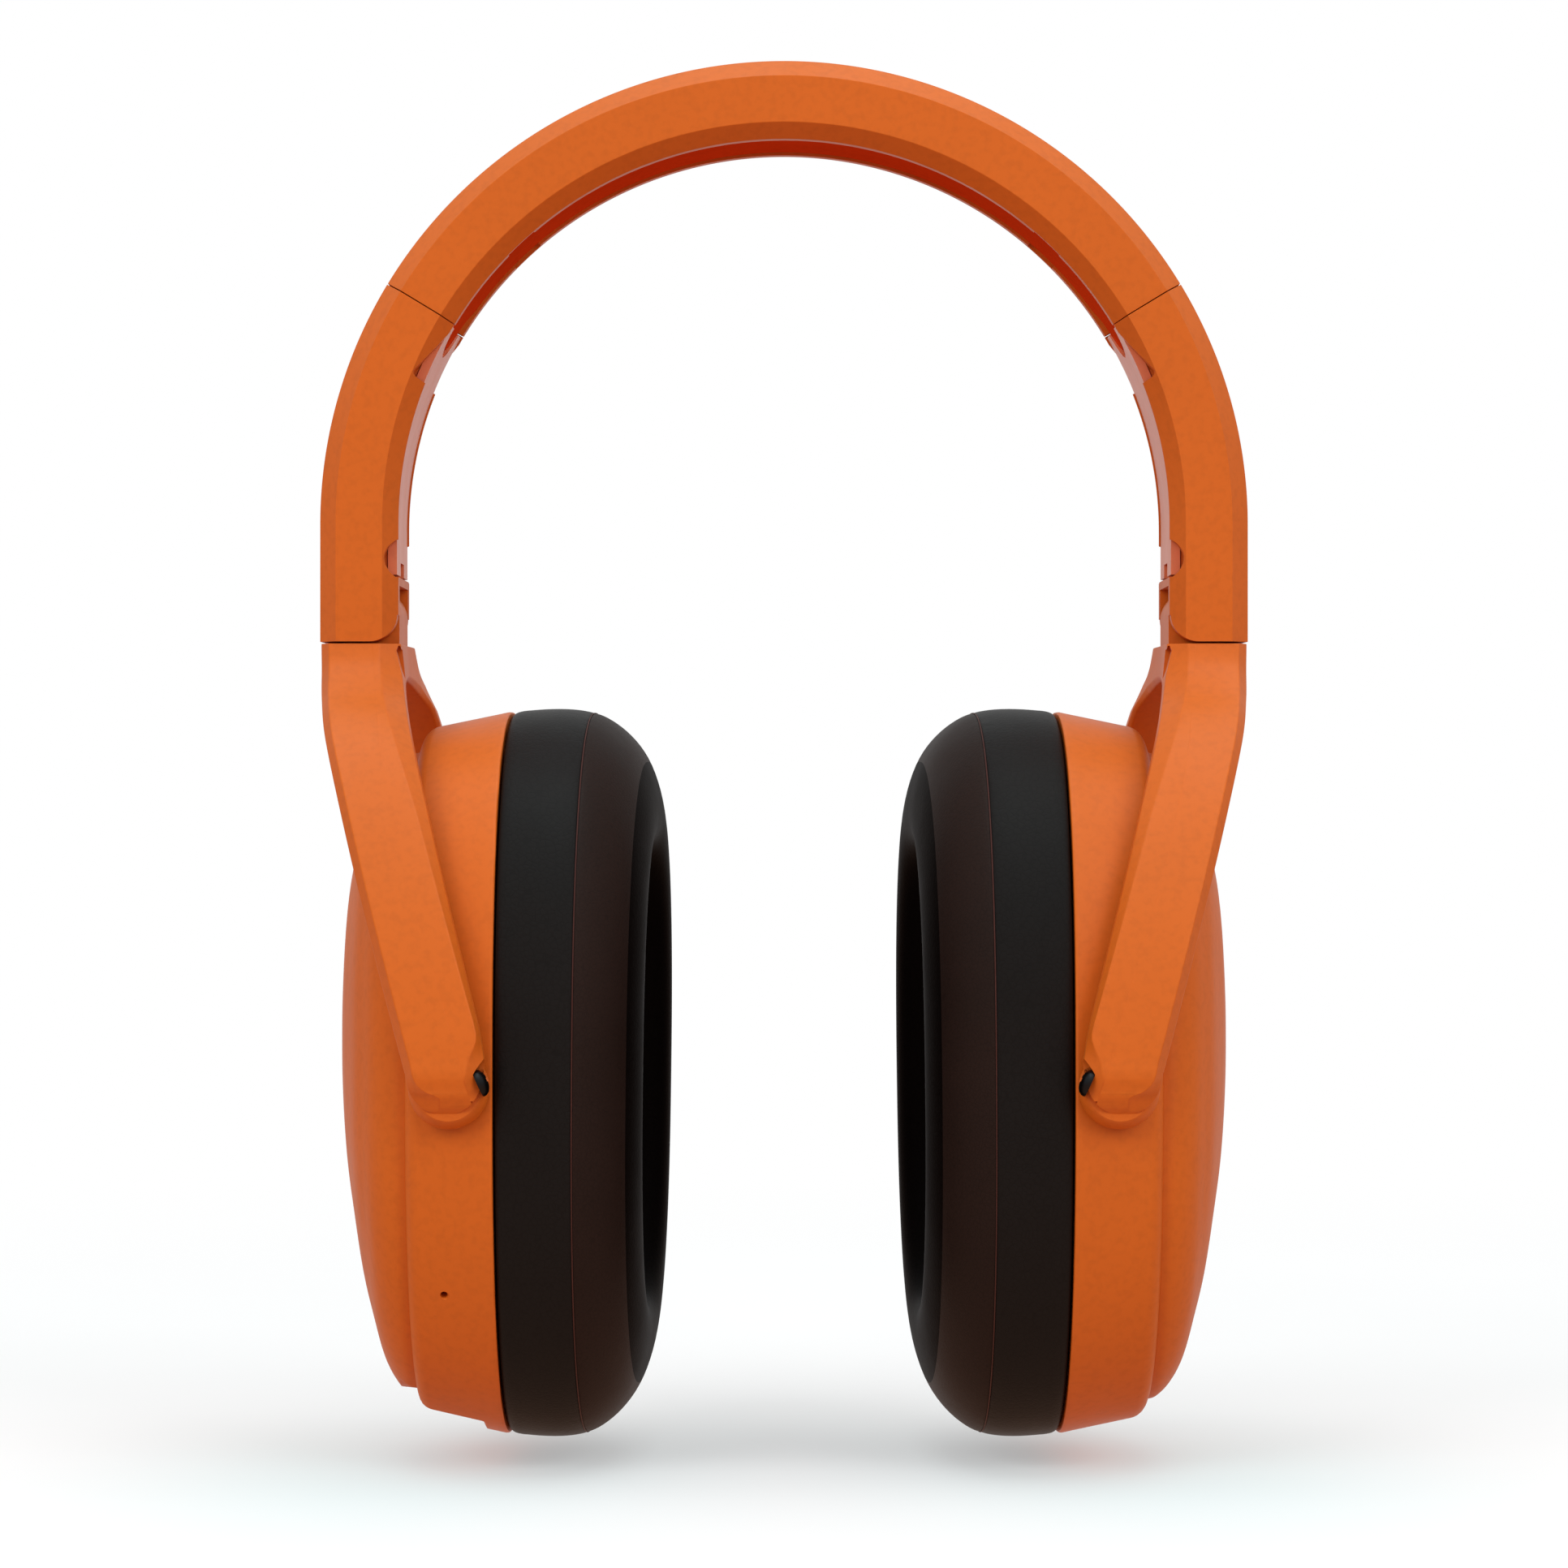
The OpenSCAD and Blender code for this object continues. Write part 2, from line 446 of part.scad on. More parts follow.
right() left_speaker_basket();  // right_speaker_basket
right() left_speaker_magnet();  // right_speaker_magnet
right() left_acoustic_foam();  // right_acoustic_foam
right() left_cushion_ring();  // right_cushion_ring
right() left_inner_screen();  // right_inner_screen
right() left_cushion();  // right_cushion
right() left_cup_screws();  // right_cup_screws
circuit_board();
battery_pack();
microphone_capsule();
charging_socket();
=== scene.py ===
import bpy, bmesh, math, json
from mathutils import Vector, Matrix, noise


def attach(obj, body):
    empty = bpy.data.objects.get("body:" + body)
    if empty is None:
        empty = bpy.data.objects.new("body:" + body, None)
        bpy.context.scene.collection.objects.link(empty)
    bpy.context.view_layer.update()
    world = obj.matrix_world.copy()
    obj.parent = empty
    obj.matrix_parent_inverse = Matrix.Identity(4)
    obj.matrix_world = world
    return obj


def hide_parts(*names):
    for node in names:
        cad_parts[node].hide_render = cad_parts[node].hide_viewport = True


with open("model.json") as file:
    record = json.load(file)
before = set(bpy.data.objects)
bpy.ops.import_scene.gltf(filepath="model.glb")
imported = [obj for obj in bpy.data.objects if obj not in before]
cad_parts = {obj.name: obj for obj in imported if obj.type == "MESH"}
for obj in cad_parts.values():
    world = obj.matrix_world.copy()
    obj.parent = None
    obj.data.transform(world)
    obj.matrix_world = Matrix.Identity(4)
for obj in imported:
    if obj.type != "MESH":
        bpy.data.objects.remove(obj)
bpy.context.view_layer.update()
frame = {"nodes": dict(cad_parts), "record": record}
NODES = frame["nodes"]
MM = 0.001
scene = bpy.context.scene

# ------------------------------------------------------------------ camera
CROWN_H = 90.5 * MM          # the camera's axis lies this far below the crown
cam_data = bpy.data.cameras.new("camera")
cam_data.sensor_width = 36.0
cam_data.lens = 122.6
cam_data.clip_start = 0.02
cam_data.clip_end = 50
cam = bpy.data.objects.new("camera", cam_data)
scene.collection.objects.link(cam)
cam.location = (0, -0.760, -CROWN_H)
cam.rotation_euler = (math.radians(90), 0, 0)
scene.camera = cam
scene.view_settings.view_transform = "Standard"
scene.view_settings.look = "None"

# --------------------------------------------------------------- materials
def new_mat(name):
    m = bpy.data.materials.new(name)
    m.use_nodes = True
    nt = m.node_tree
    for n in list(nt.nodes):
        nt.nodes.remove(n)
    out = nt.nodes.new("ShaderNodeOutputMaterial")
    bs = nt.nodes.new("ShaderNodeBsdfPrincipled")
    nt.links.new(bs.outputs[0], out.inputs[0])
    return m, nt, bs

def noise_tex(nt, scale, detail=3.0, rough=0.55, coord="Object", stretch=None):
    tc = nt.nodes.new("ShaderNodeTexCoord")
    n = nt.nodes.new("ShaderNodeTexNoise")
    n.inputs["Scale"].default_value = scale
    n.inputs["Detail"].default_value = detail
    n.inputs["Roughness"].default_value = rough
    src = tc.outputs[coord]
    if stretch:
        mp = nt.nodes.new("ShaderNodeMapping")
        mp.inputs["Scale"].default_value = stretch
        nt.links.new(src, mp.inputs[0])
        src = mp.outputs[0]
    nt.links.new(src, n.inputs["Vector"])
    return n

def ramp(nt, src, stops):
    r = nt.nodes.new("ShaderNodeValToRGB")
    el = r.color_ramp.elements
    while len(el) < len(stops):
        el.new(0.5)
    for e, (p, c) in zip(el, stops):
        e.position = p
        e.color = (*c, 1) if len(c) == 3 else c
    nt.links.new(src, r.inputs[0])
    return r

def bump(nt, bs, src, dist, strength=1.0, prev=None):
    b = nt.nodes.new("ShaderNodeBump")
    b.inputs["Distance"].default_value = dist
    b.inputs["Strength"].default_value = strength
    nt.links.new(src, b.inputs["Height"])
    if prev is not None:
        nt.links.new(prev.outputs[0], b.inputs["Normal"])
    nt.links.new(b.outputs[0], bs.inputs["Normal"])
    return b

def to_range(nt, src, lo, hi, a=0.0, b=1.0):
    m = nt.nodes.new("ShaderNodeMapRange")
    m.inputs["From Min"].default_value = a
    m.inputs["From Max"].default_value = b
    m.inputs["To Min"].default_value = lo
    m.inputs["To Max"].default_value = hi
    nt.links.new(src, m.inputs["Value"])
    return m

def plastic(name, base, vary=0.06, rough=(0.40, 0.52), grain=2600, grain_d=0.00001, spec=0.45, coat=0.0):
    """Moulded plastic: spark-eroded grain, faint cloudiness from the flow, small scuffs."""
    m, nt, bs = new_mat(name)
    big = noise_tex(nt, 38, 4, 0.6)
    lo = tuple(max(0, c * (1 - vary)) for c in base)
    hi = tuple(min(1, c * (1 + vary)) for c in base)
    col = ramp(nt, big.outputs["Fac"], [(0.32, lo), (0.5, base), (0.7, hi)])
    speck = noise_tex(nt, 900, 2, 0.5)
    mix = nt.nodes.new("ShaderNodeMix")
    mix.data_type = "RGBA"
    mix.blend_type = "MULTIPLY"
    mix.inputs["Factor"].default_value = 1.0
    sp = ramp(nt, speck.outputs["Fac"], [(0.30, (0.93, 0.93, 0.93)), (0.55, (1, 1, 1)), (0.8, (1, 1, 1))])
    nt.links.new(col.outputs[0], mix.inputs["A"])
    nt.links.new(sp.outputs[0], mix.inputs["B"])
    nt.links.new(mix.outputs["Result"], bs.inputs["Base Color"])
    scuff = noise_tex(nt, 120, 5, 0.65, stretch=(1, 1, 0.35))
    rg = to_range(nt, scuff.outputs["Fac"], rough[0], rough[1], 0.3, 0.7)
    nt.links.new(rg.outputs[0], bs.inputs["Roughness"])
    gr = noise_tex(nt, grain, 2, 0.5)
    bump(nt, bs, gr.outputs["Fac"], grain_d, 0.55)
    bs.inputs["Specular IOR Level"].default_value = spec
    bs.inputs["IOR"].default_value = 1.5
    if coat:
        bs.inputs["Coat Weight"].default_value = coat
        bs.inputs["Coat Roughness"].default_value = 0.35
    return m

M_ORANGE = plastic("orange_shell", (0.62, 0.128, 0.011), vary=0.03, rough=(0.44, 0.52), spec=0.30)
# Inner plate: its own salmon-orange tone, made lighter and pinker by a painted sheen that stands in for the white
# reflection on it.
M_INNER_WITH_PAINTED_SHEEN = plastic("orange_inner", (0.70, 0.190, 0.085), vary=0.03, rough=(0.34, 0.42), spec=0.5)
M_LINER = plastic("red_liner", (0.62, 0.050, 0.008), vary=0.05, rough=(0.65, 0.75), grain=1500, grain_d=0.00002, spec=0.0)
M_BLACKP = plastic("black_plastic", (0.018, 0.018, 0.019), vary=0.15, rough=(0.42, 0.55))

def metal(name, base, rough=(0.22, 0.38), stretch=(1, 1, 18), scale=160):
    m, nt, bs = new_mat(name)
    bs.inputs["Metallic"].default_value = 1.0
    n = noise_tex(nt, scale, 4, 0.6, stretch=stretch)
    c = ramp(nt, n.outputs["Fac"], [(0.3, tuple(v * 0.86 for v in base)), (0.7, base)])
    nt.links.new(c.outputs[0], bs.inputs["Base Color"])
    rg = to_range(nt, n.outputs["Fac"], rough[0], rough[1], 0.3, 0.7)
    nt.links.new(rg.outputs[0], bs.inputs["Roughness"])
    bump(nt, bs, n.outputs["Fac"], 0.000008, 0.5)
    return m
M_STEEL = metal("steel", (0.56, 0.57, 0.58))
M_FOIL = metal("battery_foil", (0.62, 0.63, 0.65), rough=(0.3, 0.5), stretch=(1, 1, 1), scale=700)
M_SCREW = metal("black_screw", (0.030, 0.030, 0.032), rough=(0.30, 0.45), stretch=(1, 1, 1), scale=900)

def leather(name, base, vary, rough, cell=0.00085, depth=0.000045, sheen=0.0, spec=0.18):
    """Synthetic leather: pebble grain from two cell sizes, pores, a slight colour drift."""
    m, nt, bs = new_mat(name)
    tc = nt.nodes.new("ShaderNodeTexCoord")
    v = nt.nodes.new("ShaderNodeTexVoronoi")
    v.feature = "DISTANCE_TO_EDGE"
    v.inputs["Scale"].default_value = 1.0 / cell
    wob = noise_tex(nt, 420, 2, 0.5)
    add = nt.nodes.new("ShaderNodeVectorMath")
    add.operation = "MULTIPLY_ADD"
    add.inputs[1].default_value = (0.0008, 0.0008, 0.0008)
    nt.links.new(wob.outputs["Color"], add.inputs[0])
    nt.links.new(tc.outputs["Object"], add.inputs[2])
    nt.links.new(add.outputs[0], v.inputs["Vector"])
    h = ramp(nt, v.outputs["Distance"], [(0.0, (0, 0, 0)), (0.12, (0.8, 0.8, 0.8)), (0.45, (1, 1, 1))])
    fine = noise_tex(nt, 5200, 2, 0.6)
    b1 = bump(nt, bs, h.outputs[0], depth, 0.6)
    bump(nt, bs, fine.outputs["Fac"], depth * 0.3, 0.4, prev=b1)
    drift = noise_tex(nt, 60, 4, 0.6)
    col = ramp(nt, drift.outputs["Fac"], [(0.3, tuple(c * (1 - vary) for c in base)), (0.7, tuple(c * (1 + vary) for c in base))])
    mix = nt.nodes.new("ShaderNodeMix")
    mix.data_type = "RGBA"; mix.blend_type = "MULTIPLY"
    mix.inputs["Factor"].default_value = 1.0
    dk = ramp(nt, v.outputs["Distance"], [(0.0, (0.72, 0.72, 0.72)), (0.10, (1, 1, 1))])
    nt.links.new(col.outputs[0], mix.inputs["A"]); nt.links.new(dk.outputs[0], mix.inputs["B"])
    nt.links.new(mix.outputs["Result"], bs.inputs["Base Color"])
    rg = to_range(nt, drift.outputs["Fac"], rough[0], rough[1], 0.3, 0.7)
    nt.links.new(rg.outputs[0], bs.inputs["Roughness"])
    bs.inputs["Specular IOR Level"].default_value = spec
    if sheen:
        bs.inputs["Sheen Weight"].default_value = sheen
        bs.inputs["Sheen Roughness"].default_value = 0.5
        bs.inputs["Sheen Tint"].default_value = (0.6, 0.5, 0.5, 1)
    return m
M_PAD = leather("cushion_leather", (0.0060, 0.0052, 0.0050), 0.10, (0.50, 0.58), depth=0.000025)
M_PAD2 = leather("cushion_face", (0.0150, 0.0070, 0.0052), 0.12, (0.54, 0.62), cell=0.0006, depth=0.00002)
# Lip: its own grey-black skin, darkened further by painted shade of the hollow toward the ear opening; its reflection
# is nearly taken away.
M_LIP_PAINTED_SHADE = leather("cushion_lip_painted_shade", (0.0032, 0.0020, 0.0018), 0.12, (0.50, 0.58), depth=0.00002, spec=0.02)
M_THREAD = plastic("seam_thread", (0.055, 0.014, 0.010), vary=0.1, rough=(0.6, 0.7), grain=4000)

def cloth(name, base, pitch, rough=0.9, depth=0.0001):
    m, nt, bs = new_mat(name)
    tc = nt.nodes.new("ShaderNodeTexCoord")
    fac = []
    for rot in (0.0, math.pi / 2):
        mp = nt.nodes.new("ShaderNodeMapping")
        mp.inputs["Rotation"].default_value = (rot, 0, 0)
        nt.links.new(tc.outputs["Object"], mp.inputs[0])
        w = nt.nodes.new("ShaderNodeTexWave")
        w.bands_direction = "Z"
        w.inputs["Scale"].default_value = 1.0 / pitch / 3.1416
        w.inputs["Distortion"].default_value = 0.4
        nt.links.new(mp.outputs[0], w.inputs["Vector"])
        fac.append(w)
    mul = nt.nodes.new("ShaderNodeMath"); mul.operation = "MULTIPLY"
    nt.links.new(fac[0].outputs["Fac"], mul.inputs[0]); nt.links.new(fac[1].outputs["Fac"], mul.inputs[1])
    col = ramp(nt, mul.outputs[0], [(0.0, tuple(c * 0.35 for c in base)), (0.6, base)])
    nt.links.new(col.outputs[0], bs.inputs["Base Color"])
    bs.inputs["Roughness"].default_value = rough
    bump(nt, bs, mul.outputs[0], depth, 0.7)
    return m
M_SCREEN = cloth("screen_cloth", (0.020, 0.014, 0.013), 0.0009)

def foam_mat():
    m, nt, bs = new_mat("foam")
    n = noise_tex(nt, 1500, 4, 0.7)
    col = ramp(nt, n.outputs["Fac"], [(0.35, (0.012, 0.012, 0.013)), (0.6, (0.07, 0.07, 0.073))])
    nt.links.new(col.outputs[0], bs.inputs["Base Color"])
    bs.inputs["Roughness"].default_value = 0.95
    bump(nt, bs, n.outputs["Fac"], 0.0003, 0.9)
    return m
M_FOAM = foam_mat()

def board_mat():
    m, nt, bs = new_mat("board_green")
    tc = nt.nodes.new("ShaderNodeTexCoord")
    br = nt.nodes.new("ShaderNodeTexBrick")
    br.inputs["Scale"].default_value = 420
    br.inputs["Color1"].default_value = (0.012, 0.10, 0.035, 1)
    br.inputs["Color2"].default_value = (0.018, 0.13, 0.05, 1)
    br.inputs["Mortar"].default_value = (0.03, 0.19, 0.08, 1)
    nt.links.new(tc.outputs["Object"], br.inputs["Vector"])
    nt.links.new(br.outputs["Color"], bs.inputs["Base Color"])
    bs.inputs["Roughness"].default_value = 0.35
    bump(nt, bs, br.outputs["Fac"], 0.00003, 0.5)
    return m
M_BOARD = board_mat()

SLOT_MAT = {"orange_shell": M_ORANGE, "orange_inner": M_INNER_WITH_PAINTED_SHEEN, "red_liner": M_LINER, "steel": M_STEEL,
            "black_screw": M_SCREW, "black_plastic": M_BLACKP, "foam": M_FOAM, "screen_cloth": M_SCREEN,
            "cushion_skin": M_PAD, "board_green": M_BOARD, "battery_foil": M_FOIL}
for sp in frame["record"]["subparts"]:
    o = NODES[sp["node"]]
    o.data.materials.clear()
    o.data.materials.append(SLOT_MAT[sp["material_slot"]])

# ------------------------------------------------------------ mesh helpers
def make(name, verts, faces, mats, mirror=False, sharp=30, face_mat=None):
    """A mesh object from millimetre points; mirror makes the right-hand copy."""
    if mirror:
        verts = [(-x, y, z) for x, y, z in verts]
        faces = [tuple(reversed(f)) for f in faces]
    me = bpy.data.meshes.new(name)
    me.from_pydata([(x * MM, y * MM, z * MM) for x, y, z in verts], [], faces)
    for m in (mats if isinstance(mats, (list, tuple)) else [mats]):
        me.materials.append(m)
    if face_mat:
        for p, k in zip(me.polygons, face_mat):
            p.material_index = k
    bm = bmesh.new(); bm.from_mesh(me)
    bmesh.ops.remove_doubles(bm, verts=bm.verts, dist=1e-7)
    bmesh.ops.recalc_face_normals(bm, faces=bm.faces)
    bm.to_mesh(me); bm.free()
    o = bpy.data.objects.new(name, me)
    scene.collection.objects.link(o)
    for p in me.polygons:
        p.use_smooth = True
    if sharp is not None:
        me.set_sharp_from_angle(angle=math.radians(sharp))
    return o

def loft(rings, loop=False):
    n, m = len(rings), len(rings[0])
    v = [p for r in rings for p in r]
    f = []
    for i in range(n if loop else n - 1):
        for j in range(m):
            k, l = (i + 1) % n, (j + 1) % m
            f.append((i * m + j, i * m + l, k * m + l, k * m + j))
    if not loop:
        f.append(tuple(reversed(range(m))))
        f.append(tuple((n - 1) * m + j for j in range(m)))
    return v, f

def apply_mods(o):
    dg = bpy.context.evaluated_depsgraph_get()
    me = bpy.data.meshes.new_from_object(o.evaluated_get(dg), preserve_all_data_layers=True, depsgraph=dg)
    old = o.data
    o.modifiers.clear()
    o.data = me
    me.name = old.name
    return o

def bevel(o, w, seg=2, angle=28, apply=True, harden=True):
    b = o.modifiers.new("bevel", "BEVEL")
    b.width = w * MM
    b.segments = seg
    b.limit_method = "ANGLE"
    b.angle_limit = math.radians(angle)
    b.harden_normals = False
    b.use_clamp_overlap = True
    b.miter_outer = "MITER_ARC"
    if apply:
        apply_mods(o)
        for p in o.data.polygons:
            p.use_smooth = True
        o.data.set_sharp_from_angle(angle=math.radians(35))
        if harden:
            weight_normals(o)
    return o

def weight_normals(o):
    """Large flat faces keep their own normal; the small rounding faces take the bend."""
    w = o.modifiers.new("weights", "WEIGHTED_NORMAL")
    w.mode = "FACE_AREA"
    w.weight = 60
    w.keep_sharp = True
    apply_mods(o)

def round_ring(R, w):
    """A closed section with each corner rounded by its own small amount."""
    out, m = [], len(R)
    for i in range(m):
        p, a, b = Vector(R[i]), Vector(R[i - 1]), Vector(R[(i + 1) % m])
        r = w[i] if isinstance(w, (list, tuple)) else w
        A = p.lerp(a, min(0.42, r / max(1e-6, (a - p).length)))
        B = p.lerp(b, min(0.42, r / max(1e-6, (b - p).length)))
        for t in (0.0, 1 / 3, 2 / 3, 1.0):
            out.append(tuple(A * (1 - t) ** 2 + p * (2 * t * (1 - t)) + B * t * t))
    return out

def cut(o, tool, op="DIFFERENCE"):
    md = o.modifiers.new("cut", "BOOLEAN")
    md.object = tool
    md.operation = op
    md.solver = "EXACT"
    bpy.context.view_layer.update()
    apply_mods(o)
    bpy.data.objects.remove(tool)
    return o

def prism_obj(pts, y0, y1, mirror=False, name="tool"):
    """A solid from an outline in (x, z), between two y."""
    n = len(pts)
    v = [(x, y0, z) for x, z in pts] + [(x, y1, z) for x, z in pts]
    f = [tuple(range(n)), tuple(range(2 * n - 1, n - 1, -1))] + [(i, i + n, (i + 1) % n + n, (i + 1) % n) for i in range(n)]
    return make(name, v, f, [], mirror, sharp=None)

def cyl_obj(c, axis, r, h, seg=48, mirror=False, name="tool", r2=None):
    """A cylinder centred on c along axis, in millimetres."""
    a = Vector(axis).normalized()
    u = a.orthogonal().normalized(); w = a.cross(u)
    c = Vector(c)
    r2 = r if r2 is None else r2
    v = [tuple(c - a * h / 2 + (u * math.cos(t) + w * math.sin(t)) * r) for t in [2 * math.pi * k / seg for k in range(seg)]]
    v += [tuple(c + a * h / 2 + (u * math.cos(t) + w * math.sin(t)) * r2) for t in [2 * math.pi * k / seg for k in range(seg)]]
    f = [tuple(reversed(range(seg))), tuple(range(seg, 2 * seg))] + [(i, (i + 1) % seg, (i + 1) % seg + seg, i + seg) for i in range(seg)]
    return make(name, v, f, [], mirror, sharp=None)

def box_obj(lo, hi, mirror=False, name="tool", rot=None, about=None):
    v = [(x, y, z) for x in (lo[0], hi[0]) for y in (lo[1], hi[1]) for z in (lo[2], hi[2])]
    if rot is not None:
        R = Matrix.Rotation(math.radians(rot[0]), 3, rot[1]); A = Vector(about)
        v = [tuple(A + R @ (Vector(p) - A)) for p in v]
    f = [(0, 1, 3, 2), (4, 6, 7, 5), (0, 4, 5, 1), (2, 3, 7, 6), (0, 2, 6, 4), (1, 5, 7, 3)]
    return make(name, v, f, [], mirror, sharp=None)

def spline(P, n):
    """Catmull-Rom through the rows of P, n steps a span."""
    out = []
    for i in range(len(P) - 1):
        p0, p1, p2, p3 = P[max(i - 1, 0)], P[i], P[i + 1], P[min(i + 2, len(P) - 1)]
        for k in range(n):
            t = k / n
            out.append([0.5 * (2 * b + (c - a) * t + (2 * a - 5 * b + 4 * c - d) * t * t + (3 * b - a - 3 * c + d) * t ** 3)
                        for a, b, c, d in zip(p0, p1, p2, p3)])
    out.append(list(P[-1]))
    return out

def lookup(x, T):
    if x <= T[0][0]: return T[0][1]
    for (a, u), (b, v) in zip(T, T[1:]):
        if x <= b: return u + (v - u) * (x - a) / (b - a)
    return T[-1][1]
def smooth_lookup(x, T, r=2.0):
    return sum(lookup(x + d, T) * w for d, w in ((-r, 1), (-r / 2, 2), (0, 3), (r / 2, 2), (r, 1))) / 9

SIDES = (("left", False), ("right", True))

# --------------------------------------------------- dimensions, millimetres
RI, RO, HW, ARC_Z, SEAM = 54.1, 65.1, 13.5, -54.1, 31.3
FX, FZ = 58.0, 66.8
YTOP = 70.85
TX, TZ = 45.4, 131.3
CZ, CA, CB, CN, TOE = 131.3, 38.5, 51.1, 2.4, 1.5

def arc_pt(r, a, y):
    t = math.radians(a)
    return (r * math.cos(t), y, ARC_Z + r * math.sin(t))

# --------------------------------------------------------- headband shell
SEC = [(RI, -HW + 2.6), (RI + 2.1, -HW), (RO - 2.4, -HW), (RO, -HW + 3.0),
       (RO, HW - 3.0), (RO - 2.4, HW), (RI + 2.1, HW), (RI, HW - 2.6)]
GROOVE = [(RI, 8.8), (RI + 1.72, 8.8), (RI + 1.72, -8.8), (RI, -8.8)]
def band():
    rings = []
    N = 150
    for i in range(N + 1):
        a = SEAM + (180 - 2 * SEAM) * i / N
        rings.append([arc_pt(r, a, y) for r, y in SEC + GROOVE])
    v, f = loft(rings)
    o = make("headband_shell_detail", v, f, M_ORANGE)
    # clip slots beside the liner, one pair a side
    for g in (-1, 1):
        for sy in (-1, 1):
            a = 90 + g * 43
            c = arc_pt(RI + 0.2, a, sy * 9.4)
            t = math.radians(a)
            tool = box_obj((-2.4, -0.75, -0.9), (2.4, 0.75, 0.9), name="tool")
            tool.data.transform(Matrix.Translation(Vector(c) * MM) @ Matrix.Rotation(math.pi / 2 - t, 4, "Y"))
            cut(o, tool)
    bevel(o, 0.28, 2)
    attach(o, "headband")
    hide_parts("headband_shell")
band()

# ------------------------------------------------------------------ liner
def liner():
    N = 160
    a0, a1 = SEAM - 3.55, 180 - SEAM + 3.55
    rings = []
    for i in range(N + 1):
        a = a0 + (a1 - a0) * i / N
        e = min(a - a0, a1 - a)                      # degrees from the nearest tip
        s = e * 0.952                                # millimetres along the arc
        if s < 4.6:
            hw = math.sqrt(max(0.02, 4.6 ** 2 - (4.6 - s) ** 2)) * 5.1 / 4.6
        else:
            t = min(1, max(0, (s - 4.4) / 3.4))
            hw = 5.1 + (8.55 - 5.1) * (t * t * (3 - 2 * t))
        top = RI + (1.12 if s < 3.3 else 1.68)
        lo = RI + 0.36
        c = min(0.45, hw * 0.3)
        rings.append([arc_pt(r, a, y) for r, y in
                      [(lo, -hw + c), (lo + c * 0.9, -hw), (top, -hw), (top, hw), (lo + c * 0.9, hw), (lo, hw - c),
                       (lo, hw * 0.62), (lo + 0.14, hw * 0.56), (lo + 0.14, -hw * 0.56), (lo, -hw * 0.62)]])
    v, f = loft(rings)
    o = make("headband_liner_detail", v, f, M_LINER, sharp=40)
    bevel(o, 0.12, 2, angle=30)
    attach(o, "headband")
    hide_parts("headband_liner")
liner()

# ------------------------------------------------------------- arm shells
def arm_path(n_arc, n_str):
    """Stations along the arm: ('arc', angle) then ('str', z)."""
    a0 = 180 - SEAM + 0.13
    out = [("a", a0 + (180 - a0) * i / n_arc) for i in range(n_arc + 1)]
    zb = -(FZ + 3.75)
    out += [("s", ARC_Z + (zb - ARC_Z) * i / n_str) for i in range(1, n_str + 1)]
    return out
def arm_pt(st, r, y):
    return arc_pt(r, st[1], y) if st[0] == "a" else (-r, y, st[1])

